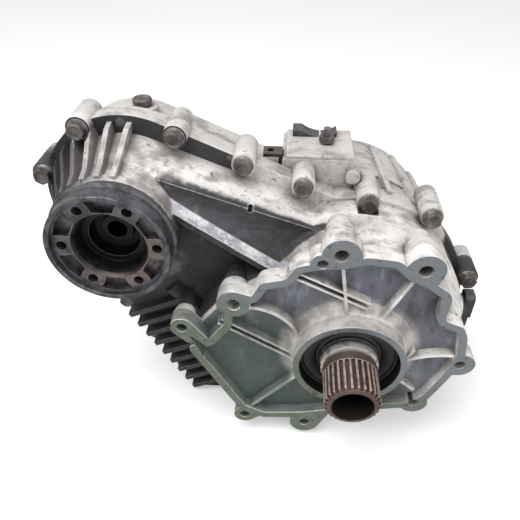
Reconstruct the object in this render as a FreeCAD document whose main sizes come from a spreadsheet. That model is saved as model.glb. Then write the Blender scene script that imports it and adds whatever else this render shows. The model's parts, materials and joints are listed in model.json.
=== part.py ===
import FreeCAD, Part
import math
import os
import re

import Sketcher
from FreeCAD import Placement, Rotation, Vector

# Chain-drive transfer case, in millimetres.
# The origin is the centre of the gearbox mating face on the input axis.
# +X points to the right of that face, +Y runs back along the input shaft and +Z points up.
# The front output axis lies to the upper left, parallel to the input axis.

ACROSS = Vector(0, 1, 0)

SIZES = {
    # front output axis, measured from the input axis
    "front_axis_x": -185.0,
    "front_axis_z": 92.0,
    # clearances
    "running_gap": 0.05,
    "face_gap": 0.3,
    # parting plane and the flanges on it
    "parting_y": 95.0,
    "flange_thickness": 9.0,
    "flange_overhang": 8.0,
    "case_wall": 6.0,
    # outline of the chain house, as discs with a belt round them
    "chain_end_radius": 64.0,
    "chain_neck_radius": 78.0,
    "sump_corner_radius": 15.0,
    "sump_left_x": -133.0,
    "sump_right_x": -24.0,
    "sump_floor_z": -111.0,
    "house_front_y": 51.0,
    "house_back_y": 150.0,
    "draft": 2.0,
    "house_shoulder": 6.0,
    "house_pinch": 13.0,
    # big round part of the casing, round the input axis
    "case_centre_x": 4.0,
    "case_centre_z": -6.5,
    "case_radius": 96.0,
    "gear_cavity_radius": 80.0,
    # bell that bolts to the gearbox
    "bell_radius": 90.0,
    "bell_wall": 6.5,
    "bell_depth": 9.0,
    "bell_rim_length": 16.0,
    "web_thickness": 8.0,
    "ear_hole_depth": 24.0,
    "boss_radius": 45.0,
    "boss_reach": 12.0,
    "rib_thickness": 2.6,
    "rib_pair_gap": 5.4,
    # input shaft
    "input_reach": 50.0,
    "input_spline_radius": 21.4,
    "input_spline_root": 19.0,
    "input_spline_length": 29.0,
    "input_spline_teeth": 28,
    "input_spline_gap_width": 3.5,
    "input_bore_radius": 16.0,
    "input_bore_depth": 46.0,
    "input_collar_radius": 23.0,
    "input_seal_land": 24.0,
    "input_seal_front_y": -3.0,
    "input_seal_length": 9.0,
    "input_bearing_bore": 25.0,
    "input_bearing_outer": 40.0,
    "input_bearing_width": 16.0,
    "input_bearing_y": 8.0,
    "pilot_radius": 11.0,
    # centre differential
    "carrier_y": 34.0,
    "carrier_plate": 7.0,
    "carrier_radius": 48.0,
    "gear_width": 22.0,
    "tooth_module": 2.5,
    "tooth_backlash": 0.35,
    "sun_teeth": 18,
    "planet_teeth": 12,
    "planet_count": 4,
    "planet_pin_radius": 5.0,
    "annulus_outer": 63.0,
    "annulus_web": 6.0,
    # chain drive
    "chain_y": 92.0,
    "chain_width": 26.0,
    "chain_pitch": 9.525,
    "sprocket_teeth": 28,
    "sprocket_tooth_height": 4.0,
    "chain_inner_gap": 0.5,
    "chain_height": 7.0,
    "sprocket_hub_radius": 30.0,
    "sprocket_hub_length": 7.0,
    # main shaft and rear output
    "main_shaft_radius": 16.0,
    "needle_thickness": 3.0,
    "clutch_y": 134.0,
    "clutch_length": 48.0,
    "clutch_outer": 72.0,
    "clutch_drum_wall": 4.0,
    "clutch_plate": 2.4,
    "clutch_pairs": 6,
    "clutch_hub_radius": 42.0,
    "rear_bearing_y": 200.0,
    "rear_bearing_bore": 20.0,
    "rear_bearing_outer": 40.0,
    "rear_bearing_width": 18.0,
    "rear_end_y": 222.0,
    "rear_radius": 86.0,
    "rear_boss_radius": 50.0,
    "rear_boss_length": 8.0,
    "rear_flange_radius": 47.0,
    "rear_flange_y": 239.0,
    "rear_flange_thickness": 9.0,
    # front output
    "front_flange_y": 8.0,
    "front_flange_radius": 47.0,
    "front_flange_depth": 14.0,
    "front_flange_floor": 8.0,
    "front_bolt_circle": 36.0,
    "front_pad_depth": 5.0,
    "front_pocket_depth": 11.5,
    "front_bolt_hole": 4.0,
    "front_bolts": 6,
    "front_neck_radius": 47.0,
    "front_neck_y": 31.0,
    "front_shaft_radius": 20.0,
    "front_spline_radius": 17.0,
    "front_nut_y": 40.0,
    "front_nut_length": 5.7,
    "front_hub_radius": 26.0,
    "front_bearing_y": 43.0,
    "front_bearing_outer": 40.0,
    "front_bearing_width": 18.0,
    "end_bearing_bore": 15.0,
    "end_bearing_outer": 31.0,
    "end_bearing_width": 16.0,
    # oil pump and cam that squeezes the clutch
    "pump_width": 5.0,
    "pump_ring_inner": 31.0,
    "cam_outer": 60.0,
    "cam_thickness": 5.0,
    # tower on the rear casing
    "tower_left_x": -60.0,
    "tower_right_x": 0.0,
    "tower_top_z": 122.0,
    "tower_length": 50.0,
    "cap_height": 9.0,
    # casing bolts
    "case_bolt_radius": 4.0,
    "case_bolt_boss": 9.5,
    "case_bolt_reach": 18.0,
}

doc = FreeCAD.newDocument("TransferCase")
sheet = doc.addObject("Spreadsheet::Sheet", "Sizes")
for row, (name, number) in enumerate(SIZES.items(), start=1):
    sheet.set(f"A{row}", name)
    sheet.set(f"B{row}", str(number))
    sheet.setAlias(f"B{row}", name)
doc.recompute()


def size(name):
    """Value of a driving dimension, read from the sheet."""
    return float(sheet.get(name))


def bound(text):
    """Expression with each driving dimension named through the sheet."""
    return re.sub(r"[a-z]\w*", lambda word: f"Sizes.{word[0]}" if word[0] in SIZES else word[0], str(text))


def worth(text):
    """Number that an expression of driving dimensions gives."""
    return float(sheet.evalExpression(bound(text)))


# --- Bodies with sketches -------------------------------------------------------------------

def sketch_on(body, role, name):
    """Sketch laid on one of the body's own origin planes."""
    sketch = body.newObject("Sketcher::SketchObject", name)
    plane = [feature for feature in body.Origin.OriginFeatures if feature.Role == role][0]
    sketch.AttachmentSupport = [(plane, "")]
    sketch.MapMode = "FlatFace"
    return sketch


def pin_down(sketch, kind, line, text):
    """Distance of a line's first end from the sketch origin, bound to the sheet."""
    number = worth(text)
    if abs(number) < 1e-9:
        axis = -2 if kind == "DistanceX" else -1
        sketch.addConstraint(Sketcher.Constraint("PointOnObject", line, 1, axis))
        return
    index = sketch.addConstraint(Sketcher.Constraint(kind, -1, 1, line, 1, number))
    sketch.setExpression(f"Constraints[{index}]", bound(text))


def draw_polygon(sketch, corners):
    """Closed polygon whose corners are pairs of expressions."""
    points = [Vector(worth(a), worth(b), 0) for a, b in corners]
    count = len(points)
    for i in range(count):
        sketch.addGeometry(Part.LineSegment(points[i], points[(i + 1) % count]))
    for i in range(count):
        sketch.addConstraint(Sketcher.Constraint("Coincident", i, 2, (i + 1) % count, 1))
    for i, (a, b) in enumerate(corners):
        pin_down(sketch, "DistanceX", i, a)
        pin_down(sketch, "DistanceY", i, b)


def new_body(label, x, y, z):
    """Body whose own frame stands at a place given by three expressions."""
    body = doc.addObject("PartDesign::Body", label)
    body.Label = label
    for axis, text in zip("xyz", (x, y, z)):
        body.setExpression(f"Placement.Base.{axis}", bound(text))
    return body


def turned(label, x, y, z, corners):
    """Body turned about a line along Y; corners are (radius, distance back) expressions."""
    body = new_body(label, x, y, z)
    sketch = sketch_on(body, "XY_Plane", f"{label}_profile")
    draw_polygon(sketch, corners)
    turn = body.newObject("PartDesign::Revolution", f"{label}_turn")
    turn.Profile = sketch
    turn.ReferenceAxis = (sketch, ["V_Axis"])
    turn.Angle = 360
    return body


def ring(label, x, y, z, inner, outer, length):
    """Plain turned ring."""
    corners = ((inner, 0), (outer, 0), (outer, length), (inner, length))
    return turned(label, x, y, z, corners)


def cut_pattern(body, name, sketch, count, depth):
    """Pockets along Y from one sketch, spaced evenly about the body's Y axis."""
    pocket = body.newObject("PartDesign::Pocket", name)
    pocket.Profile = sketch
    pocket.Midplane = True
    pocket.setExpression("Length", bound(f"2 * ({depth})"))
    doc.recompute()
    pattern = body.newObject("PartDesign::PolarPattern", f"{name}_pattern")
    pattern.Originals = [pocket]
    pattern.Axis = (sketch, ["N_Axis"])
    pattern.Angle = 360
    pattern.setExpression("Occurrences", bound(count))
    body.Tip = pattern
    doc.recompute()


def cut_round_hole(body, name, radius, circle, count, depth):
    """Round holes along Y through a body, spaced evenly on a circle about its Y axis."""
    doc.recompute()
    sketch = sketch_on(body, "XZ_Plane", f"{name}_circle")
    sketch.addGeometry(Part.Circle(Vector(worth(circle), 0, 0), Vector(0, 0, 1), worth(radius)))
    sketch.addConstraint(Sketcher.Constraint("PointOnObject", 0, 3, -1))
    place = sketch.addConstraint(Sketcher.Constraint("DistanceX", -1, 1, 0, 3, worth(circle)))
    sketch.setExpression(f"Constraints[{place}]", bound(circle))
    wide = sketch.addConstraint(Sketcher.Constraint("Radius", 0, worth(radius)))
    sketch.setExpression(f"Constraints[{wide}]", bound(radius))
    cut_pattern(body, name, sketch, count, depth)


# --- Shapes for castings and toothed wheels -----------------------------------------------------

def named_feature(label, shape):
    """Feature that holds a finished shape at the origin."""
    feature = doc.addObject("Part::Feature", label)
    feature.Label = label
    feature.Shape = shape
    feature.Placement = Placement()
    return feature


def post(x, z, radius, start, end):
    """Round bar along Y."""
    return Part.makeCylinder(radius, end - start, Vector(x, start, z), ACROSS)


def taper(x, z, first, last, start, end):
    """Round bar along Y that changes radius."""
    return Part.makeCone(first, last, end - start, Vector(x, start, z), ACROSS)


def fused(shapes):
    """One shape from several that meet."""
    return shapes[0].multiFuse(shapes[1:])


def prism(wire, start, end):
    """Outline drawn at Y = 0, made solid from start to end."""
    face = Part.Face(wire)
    face.translate(Vector(0, start, 0))
    return face.extrude(Vector(0, end - start, 0))


def flat(x, z):
    """Point of an outline, drawn at Y = 0."""
    return Vector(x, 0, z)


def polygon(points):
    """Closed wire of straight lines through points."""
    return Part.makePolygon(list(points) + [points[0]])


def rounded(corners):
    """Closed outline through (x, z, radius) corners."""
    count = len(corners)
    edges = []
    ends = []
    for i in range(count):
        here = flat(*corners[i][:2])
        before = (flat(*corners[i - 1][:2]) - here).normalize()
        after = (flat(*corners[(i + 1) % count][:2]) - here).normalize()
        half = before.getAngle(after) / 2
        radius = corners[i][2]
        reach = radius / math.tan(half)
        middle = (before + after).normalize() * (radius / math.sin(half) - radius)
        ends.append((here + before * reach, here + middle, here + after * reach))
    for i in range(count):
        first, crown, last = ends[i]
        edges.append(Part.Arc(first, crown, last).toShape())
        edges.append(Part.LineSegment(last, ends[(i + 1) % count][0]).toShape())
    return Part.Wire(edges)


def belt_normals(discs):
    """Outward direction of each straight side of a belt round (x, z, radius) discs."""
    count = len(discs)
    normals = []
    for i in range(count):
        x0, z0, r0 = discs[i]
        x1, z1, r1 = discs[(i + 1) % count]
        span = math.hypot(x1 - x0, z1 - z0)
        ux = (x1 - x0) / span
        uz = (z1 - z0) / span
        lean = (r0 - r1) / span
        straight = math.sqrt(1 - lean * lean)
        normals.append((uz * straight + ux * lean, -ux * straight + uz * lean))
    return normals


def belt(discs, y=0.0):
    """Outline stretched round (x, z, radius) discs, listed anticlockwise."""
    count = len(discs)
    normals = belt_normals(discs)
    edges = []
    for i in range(count):
        x, z, radius = discs[i]
        first = math.atan2(normals[i - 1][1], normals[i - 1][0])
        last = math.atan2(normals[i][1], normals[i][0])
        while last <= first:
            last += 2 * math.pi
        rim = [
            Vector(x + radius * math.cos(a), y, z + radius * math.sin(a))
            for a in (first, (first + last) / 2, last)
        ]
        edges.append(Part.Arc(*rim).toShape())
        nx, nz = normals[i]
        x1, z1, r1 = discs[(i + 1) % count]
        edges.append(Part.LineSegment(rim[2], Vector(x1 + r1 * nx, y, z1 + r1 * nz)).toShape())
    return Part.Wire(edges)


def loft(first, last):
    """Solid between two closed outlines, with straight sides."""
    return Part.makeLoft([first, last], True, True)


def strip(start, end, first_y, last_y, base_y, thickness):
    """Upright rib from one (x, z) point to another, from its sloping edge back to base_y."""
    a = flat(*start)
    b = flat(*end)
    side = (b - a).cross(ACROSS).normalize() * (thickness / 2)
    corners = [
        Vector(a.x, first_y, a.z) - side,
        Vector(b.x, last_y, b.z) - side,
        Vector(b.x, base_y, b.z) - side,
        Vector(a.x, base_y, a.z) - side,
    ]
    return Part.Face(polygon(corners)).extrude(side * 2)


def toothed(count, root, tip, root_share, tip_share, turn=0.0):
    """Closed outline of a toothed wheel about the Y axis; the shares are of one pitch."""
    pitch = 2 * math.pi / count
    points = []
    for i in range(count):
        middle = i * pitch + turn
        marks = ((root, -root_share), (tip, -tip_share), (tip, tip_share), (root, root_share))
        for radius, share in marks:
            angle = middle + share * pitch / 2
            points.append(flat(radius * math.cos(angle), radius * math.sin(angle)))
    return polygon(points)


# --- Shared places ----------------------------------------------------------------------------------

FRONT_X = size("front_axis_x")
FRONT_Z = size("front_axis_z")
PARTING = size("parting_y")
OVERHANG = size("flange_overhang")
WALL = size("case_wall")
FLOOR_Z = size("sump_floor_z")
BACK_PINCH = 4.0
CASE_X = size("case_centre_x")
CASE_Z = size("case_centre_z")
BELL = size("bell_radius")

# Ears of the gearbox flange: x, z, ear radius, hole radius, and the arms that tie each one to the
# bell, as a turn away from the input axis, a length and the radius at the root
EARS = (
    (-14.8, 102.3, 14.0, 5.3, ((0, 26, 17.0),)),
    (45.4, 91.4, 14.0, 5.3, ((0, 26, 17.0),)),
    (90.2, -4.8, 12.0, 4.5, ((0, 26, 15.0),)),
    (61.7, -56.5, 12.0, 4.5, ((0, 26, 15.0),)),
    (-31.3, -92.7, 13.0, 4.5, ((0, 26, 16.0),)),
    (-86.0, -85.5, 9.5, 4.5, ((0, 26, 12.5),)),
    (-134.5, 23.9, 9.5, 4.5, ((-32, 25, 4.5), (-58, 14, 4.0))),
    (-92.5, 51.5, 13.0, 5.3, ((20, 26, 9.0),)),
)
DOWEL_HOLE = (-27.5, 94.0, 4.0)
DOWEL_EAR = 9.0

# Slot between the left ear's two arms: x, z
ARM_SLOT = ((-129.5, 14.5), (-126.4, 13.8), (-115.0, 3.0), (-113.0, -6.0), (-120.0, -10.0))

# Bell wall, as angle about the input axis, reach beyond the bell radius and corner radius
BELL_CORNERS = (
    (17, 3, 14),
    (24, 2, 8),
    (33, -9, 6),
    (45, 8, 12),
    (57, 7, 10),
    (66, 6, 12),
    (75, 13, 12),
    (88, 12, 12),
    (97, 8, 10),
    (107, 10, 10),
    (117, 12, 8),
    (124, 5, 6),
    (134, 13, 9),
    (142, 9, 6),
    (153, 23, 6),
    (163.6, 14.7, 5),
    (174, 24.1, 4),
    (179.6, 41.7, 5),
    (186, 35, 12),
    (221, 29, 8),
    (232, 22, 10),
    (248, 2, 10),
    (300, -13, 12),
    (312, -5, 8),
    (325, -1, 10),
    (340, -3, 8),
    (352, -1, 12),
    (5, 2, 12),
)

# Bolts round the drum: angle about its centre, reach beyond the drum
DRUM_BOLTS = ((86, 8.7), (57, 15.0), (16.5, 11.4), (-31, 12.3), (-63, 7.0), (-95, -2.0))

# Bolts round the front output end: angle about its axis, reach beyond the house
END_BOLTS = ((160, 7.2), (116, 7.2), (54, 9.0))

# Bolts along the straight sides of the chain house: side, share of its length, reach beyond it
SIDE_BOLTS = ((0, 0.45, 6.0), (0, 0.7, 7.0), (0, 0.95, 7.0), (3, 0.42, 11.0), (3, 0.66, 8.0))

# Dowels between the two casings: x, z, radius
DOWELS = (
    (-185.0, 158.0, 4.0),
    (95.0, -40.0, 4.0),
)

# Pad of the speed sensor on the right-hand side: its face and centre
SENSOR = (CASE_X / 2 + size("case_radius") + 3, 62.0, 4.0)

# Foot of the breather on top of the rear casing
BREATHER = (-176.0, 122.0, 157.0)

# Blind drillings in the front wall above the ledge: x, z
OIL_HOLES = ((-105.0, 117.0), (-83.0, 104.0))

# Threaded plugs in the back wall of the chain house: x, z, thread radius
FILL_PLUG = (-112.0, 6.0, 9.0)
DRAIN_PLUG = (-104.0, -84.0, 9.0)


def bell_outline():
    """Outer edge of the bell wall, without its ears."""
    corners = []
    for angle, reach, corner in BELL_CORNERS:
        turn = math.radians(angle)
        corners.append(((BELL + reach) * math.cos(turn), (BELL + reach) * math.sin(turn), corner))
    return rounded(corners)


def house_discs(grow, lift=0.0, pinch=0.0):
    """Discs of the chain house outline, grown outwards, the sump floor lifted, the front end pinched."""
    corner = size("sump_corner_radius") + grow
    corner_z = FLOOR_Z + lift + corner
    return (
        (FRONT_X, FRONT_Z, size("chain_end_radius") + grow - pinch),
        (size("sump_left_x"), corner_z, corner),
        (size("sump_right_x"), corner_z, corner),
        (CASE_X, CASE_Z, size("chain_neck_radius") + grow),
    )


def case_bolts():
    """Places of the bolts that hold the two casings together."""
    places = []
    for angle, out in DRUM_BOLTS:
        turn = math.radians(angle)
        reach = size("case_radius") + out
        places.append((CASE_X + reach * math.cos(turn), CASE_Z + reach * math.sin(turn)))
    for angle, out in END_BOLTS:
        turn = math.radians(angle)
        reach = size("chain_end_radius") + out
        places.append((FRONT_X + reach * math.cos(turn), FRONT_Z + reach * math.sin(turn)))
    discs = house_discs(0)
    normals = belt_normals(discs)
    for side, share, out in SIDE_BOLTS:
        x0, z0, r0 = discs[side]
        x1, z1, r1 = discs[(side + 1) % len(discs)]
        nx, nz = normals[side]
        reach = r0 + (r1 - r0) * share + out
        places.append((x0 + (x1 - x0) * share + nx * reach, z0 + (z1 - z0) * share + nz * reach))
    return places


def inside_house(start, end, pinch):
    """Room inside the chain house between two distances back, left full round each casing bolt."""
    inset = -WALL - size("draft")
    first, last = (house_discs(inset, WALL, amount) for amount in pinch)
    room = loft(belt(first, start), belt(last, end))
    boss = size("case_bolt_boss")
    return room.cut(fused([post(x, z, boss, start - 1, end + 1) for x, z in CASE_BOLTS]))


def flange_plate(start, end):
    """One casing's half of the parting flange."""
    plate = prism(belt(house_discs(OVERHANG)), start, end)
    return plate.fuse(post(CASE_X, CASE_Z, size("case_radius") + OVERHANG, start, end))


def front_house():
    """Outside of the front casing, from the bell back to the parting plane."""
    front = size("house_front_y")
    draft = size("draft")
    shoulder = size("house_shoulder")
    pinch = size("house_pinch")
    edge = belt(house_discs(-draft - shoulder, pinch=pinch), front)
    brow = belt(house_discs(-draft, pinch=pinch), front + shoulder)
    back = belt(house_discs(0, pinch=BACK_PINCH), PARTING)
    shapes = [loft(edge, brow), loft(brow, back)]
    drum_front = size("bell_rim_length") - 2
    drum = size("case_radius")
    brim = drum_front + 40
    shapes.append(taper(CASE_X / 2, CASE_Z / 2, drum - shoulder, drum + draft, drum_front, brim))
    shapes.append(post(CASE_X / 2, CASE_Z / 2, drum + draft, brim, PARTING - 1))
    shapes.append(flange_plate(PARTING - size("flange_thickness"), PARTING))
    shapes.append(prism(bell_outline(), 0, size("bell_rim_length")))
    shapes.append(prism(rounded(LOBE), size("bell_rim_length") - 4, front + 4))
    return shapes


# Left-hand lobe of the bell, which runs back to the chain house: x, z, corner radius
LOBE = (
    (-60.0, 72.0, 12.0),
    (-96.0, 50.0, 12.0),
    (-126.0, 12.0, 10.0),
    (-88.0, -82.0, 10.0),
    (-10.0, -88.0, 12.0),
    (0.0, 0.0, 20.0),
)


def ears():
    """Bolt ears of the bell, with the tapering bosses behind them."""
    rim = size("bell_rim_length")
    shapes = []
    for x, z, radius, _, arms in EARS:
        for turn, arm, root in arms:
            towards = Rotation(ACROSS, -turn).multVec(Vector(-x, 0, -z).normalize() * arm)
            shapes.append(prism(belt(((x, z, radius), (x + towards.x, z + towards.z, root))), 0, rim - 2))
        shapes.append(taper(x, z, radius, radius - 5, rim - 3, rim + 24))
    x, z, _ = DOWEL_HOLE
    shapes.append(prism(belt(((x, z, DOWEL_EAR), (x * 0.8, z * 0.8, DOWEL_EAR + 4))), 0, rim - 2))
    return shapes


def ear_holes():
    """Through holes of the bell's ears and its dowel hole."""
    depth = size("ear_hole_depth")
    holes = [post(ear[0], ear[1], ear[3], -1, depth) for ear in EARS]
    x, z, radius = DOWEL_HOLE
    holes.append(post(x, z, radius, -1, 12))
    holes.append(prism(polygon([flat(*corner) for corner in ARM_SLOT]), -1, size("bell_depth")))
    return holes


def bell_ribs():
    """Ribs that run from the bearing boss out to the bell wall, some of them in pairs."""
    floor = size("bell_depth") + 2
    thickness = size("rib_thickness")
    gap = size("rib_pair_gap")
    high = 1.2
    low = 2.4
    lines = (
        ((-5.0, 42.0), (-13.0, 92.0), 1),
        ((10.0, 54.0), (-52.0, 84.0), 2),
        ((22.5, 44.5), (40.0, 82.0), 1),
        ((-43.0, -6.0), (-104.0, 31.0), 2),
        ((-38.0, -26.0), (-86.0, -82.0), 1),
        ((44.0, -10.0), (52.0, 8.0), 1),
        ((40.0, -24.0), (60.0, -42.0), 1),
    )
    ribs = []
    for a, b, count in lines:
        across = (flat(*b) - flat(*a)).cross(ACROSS).normalize() * gap
        for i in range(count):
            shift = across * (i - (count - 1) / 2)
            first = (a[0] + shift.x, a[1] + shift.z)
            last = (b[0] + shift.x, b[1] + shift.z)
            ribs.append(strip(first, last, high, low, floor, thickness / math.sqrt(count)))
    ribs.append(curved_rib((-82.0, 48.0), (-60.0, 42.0), (-40.0, 12.0), floor))
    ribs.append(curved_rib((44.0, -6.0), (62.0, 2.0), (84.0, 4.0), floor))
    return ribs


def curved_rib(start, middle, end, floor):
    """Rib of even height that follows an arc through three (x, z) points."""
    arc = Part.Arc(flat(*start), flat(*middle), flat(*end)).toShape().Curve
    centre = arc.Center
    half = size("rib_thickness") / 2
    rims = []
    for side in (half, -half):
        rims.append([centre + (flat(*p) - centre) * ((arc.Radius + side) / arc.Radius)
                     for p in (start, middle, end)])
    outer, inner = rims
    edges = [
        Part.Arc(*outer).toShape(),
        Part.LineSegment(outer[2], inner[2]).toShape(),
        Part.Arc(*reversed(inner)).toShape(),
        Part.LineSegment(inner[0], outer[0]).toShape(),
    ]
    return prism(Part.Wire(edges), 1.2, floor)


def output_housing():
    """Finned cone that carries the front output bearing."""
    neck_y = size("front_neck_y")
    neck = size("front_neck_radius")
    root = size("chain_end_radius")
    back = PARTING - size("flange_thickness")
    shapes = [
        taper(FRONT_X, FRONT_Z, neck - 2, neck + 2, neck_y + 6, size("house_front_y") + 11),
        post(FRONT_X, FRONT_Z, neck, neck_y, neck_y + 8),
    ]
    fins = 10
    for i in range(fins):
        angle = math.radians(84 + i * 13.5)
        out = Vector(math.cos(angle), 0, math.sin(angle))
        side = out.cross(ACROSS) * 2.0
        centre = Vector(FRONT_X, 0, FRONT_Z)
        crest = ((neck - 6, neck_y + 2), (neck + 3, neck_y + 2), (neck + 5, neck_y + 14),
                 (root + 1.5, back - 10), (root + 3, back + 1), (30, back + 1))
        corners = [centre + out * r + ACROSS * y - side for r, y in crest]
        shapes.append(Part.Face(polygon(corners)).extrude(side * 2))
    return shapes


def bolt_boss(x, z, start, end):
    """Round boss for a casing bolt, joined to the flange."""
    return post(x, z, size("case_bolt_boss"), start, end)


def sump_fins(start, end):
    """Slanted cooling fins on the lower left of the sump."""
    shapes = []
    count = 9
    for i in range(count):
        share = i / (count - 1)
        x = -192.0 + 50.0 * share
        z = -8.0 - 96.0 * share
        fin = Part.makeBox(62, end - start, 4.6, Vector(0, start, -2.3))
        fin.rotate(Vector(0, 0, 0), ACROSS, -24)
        fin.translate(Vector(x, 0, z))
        shapes.append(fin)
    return shapes


def ledge_section(place, up, depth, rise, lip):
    """Cross-section of the ledge: a flat lip in front and a hollow curve up to the wall behind it."""
    wall = size("house_front_y")
    crest = wall - depth + lip
    drop = 6.0
    shapes = [(wall + drop, rise), (wall, rise), (crest, 0), (wall - depth, 0), (wall - depth + 1, -drop),
              (wall + drop, -drop)]
    points = [Vector(place.x, y, place.z) + up * h for y, h in shapes]
    sag = Vector(place.x, wall - 0.29 * (depth - lip), place.z) + up * (0.29 * rise)
    edges = [Part.LineSegment(points[0], points[1]).toShape(), Part.Arc(points[1], sag, points[2]).toShape()]
    for i in range(2, len(points)):
        edges.append(Part.LineSegment(points[i], points[(i + 1) % len(points)]).toShape())
    return Part.Wire(edges)


def wedge_ledge():
    """Shelf that widens from the output housing down to the bell, hollowed where it meets the wall."""
    left = Vector(-158.0, 0, 116.0)
    right = Vector(-42.0, 0, 60.0)
    up = (left - right).cross(ACROSS).normalize()
    if up.z < 0:
        up = up * -1
    return loft(ledge_section(left, up, 8.0, 14.0, 3.0), ledge_section(right, up, 36.0, 30.0, 7.0))


def front_casing():
    """Front casing: bell, bearing boss, front half of the chain house and output housing."""
    front = size("house_front_y")
    depth = size("bell_depth")
    web_back = depth + size("web_thickness")
    boss = size("boss_radius")
    outside = front_house() + ears() + output_housing()
    for x, z in CASE_BOLTS:
        outside.append(bolt_boss(x, z, PARTING - size("case_bolt_reach"), PARTING))
    outside += sump_fins(front - 8, PARTING - 2)
    outside.append(wedge_ledge())
    outside.append(Part.makeCylinder(8, 52, Vector(-152, front + 1, 24), Vector(36, 0, -40)))
    outside.append(Part.makeCylinder(12, 16, Vector(SENSOR[0] - 16, SENSOR[1], SENSOR[2]), Vector(1, 0, 0)))
    body = fused(outside)

    bell_room = Part.Face(bell_outline()).makeOffset2D(-size("bell_wall"))
    bell_room.translate(Vector(0, -1, 0))
    recess = bell_room.extrude(Vector(0, depth + 1, 0))
    body = body.cut(recess)

    inside_boss = [
        post(0, 0, boss, -size("boss_reach"), web_back + 20),
        taper(0, 0, boss, boss + 12, 1.2, depth + 3),
    ]
    body = body.multiFuse(inside_boss + bell_ribs())

    seat_end = size("input_bearing_y") + size("input_bearing_width")
    seal_front = size("input_seal_front_y")
    cavity_front = size("carrier_y") - 4
    room = [
        post(0, 0, size("input_bearing_outer"), -size("boss_reach") - 1, seat_end),
        post(0, 0, size("input_bearing_outer") - 4, seat_end - 1, cavity_front + 1),
        post(0, 0, size("input_bearing_outer") + 2, seat_end, seat_end + 2.2),
        post(0, 0, size("gear_cavity_radius"), cavity_front, PARTING + 1),
        inside_house(front + WALL + 6, PARTING + 1, (size("house_pinch") - 1, BACK_PINCH)),
    ]
    bearing_end = size("front_bearing_y") + size("front_bearing_width")
    room.append(post(FRONT_X, FRONT_Z, size("front_bearing_outer"), size("front_neck_y") - 1, bearing_end))
    room.append(post(FRONT_X, FRONT_Z, size("front_bearing_outer") - 4, bearing_end - 1, PARTING))
    room.append(post(FRONT_X, FRONT_Z, size("front_bearing_outer") + 2, bearing_end, bearing_end + 2.2))
    for x, z in CASE_BOLTS:
        head_y = PARTING - size("case_bolt_reach")
        room.append(post(x, z, size("case_bolt_boss"), head_y - 11, head_y))
        room.append(post(x, z, size("case_bolt_radius") + 0.5, head_y - 1, PARTING + 1))
    for x, z, radius in DOWELS:
        room.append(post(x, z, radius, PARTING - 8, PARTING + 1))
    for x, z in OIL_HOLES:
        room.append(post(x, z, 2.2, front - 1, front + 9))
    return body.cut(fused(room + ear_holes()))


def tower():
    """Square tower on top of the rear casing, which the control cap closes."""
    left = size("tower_left_x")
    right = size("tower_right_x")
    top = size("tower_top_z")
    start = PARTING + size("flange_thickness") - 1
    end = start + size("tower_length")
    foot = rounded(((left, 60, 4), (right + 4, 60, 4), (right, top, 2), (left, top, 2)))
    corner_rib = post(right - 1, top - 13, 6, PARTING + 2, end)
    return [prism(foot, start, end), corner_rib]


def long_ribs():
    """Ribs along the top of the rear casing's drum."""
    shapes = []
    end = size("rear_end_y") - 8
    rear = size("rear_radius")
    drum = size("case_radius")
    for angle in (38, 56, 72, 88, 124, 142):
        turn = math.radians(angle)
        out = Vector(math.cos(turn), 0, math.sin(turn))
        side = out.cross(ACROSS) * 2.5
        crest = ((60, PARTING + 4), (drum + 6, PARTING + 4), (rear + 5, end - 10), (rear - 4, end), (60, end))
        corners = [out * r + ACROSS * y - side for r, y in crest]
        shapes.append(Part.Face(polygon(corners)).extrude(side * 2))
    return shapes


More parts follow.
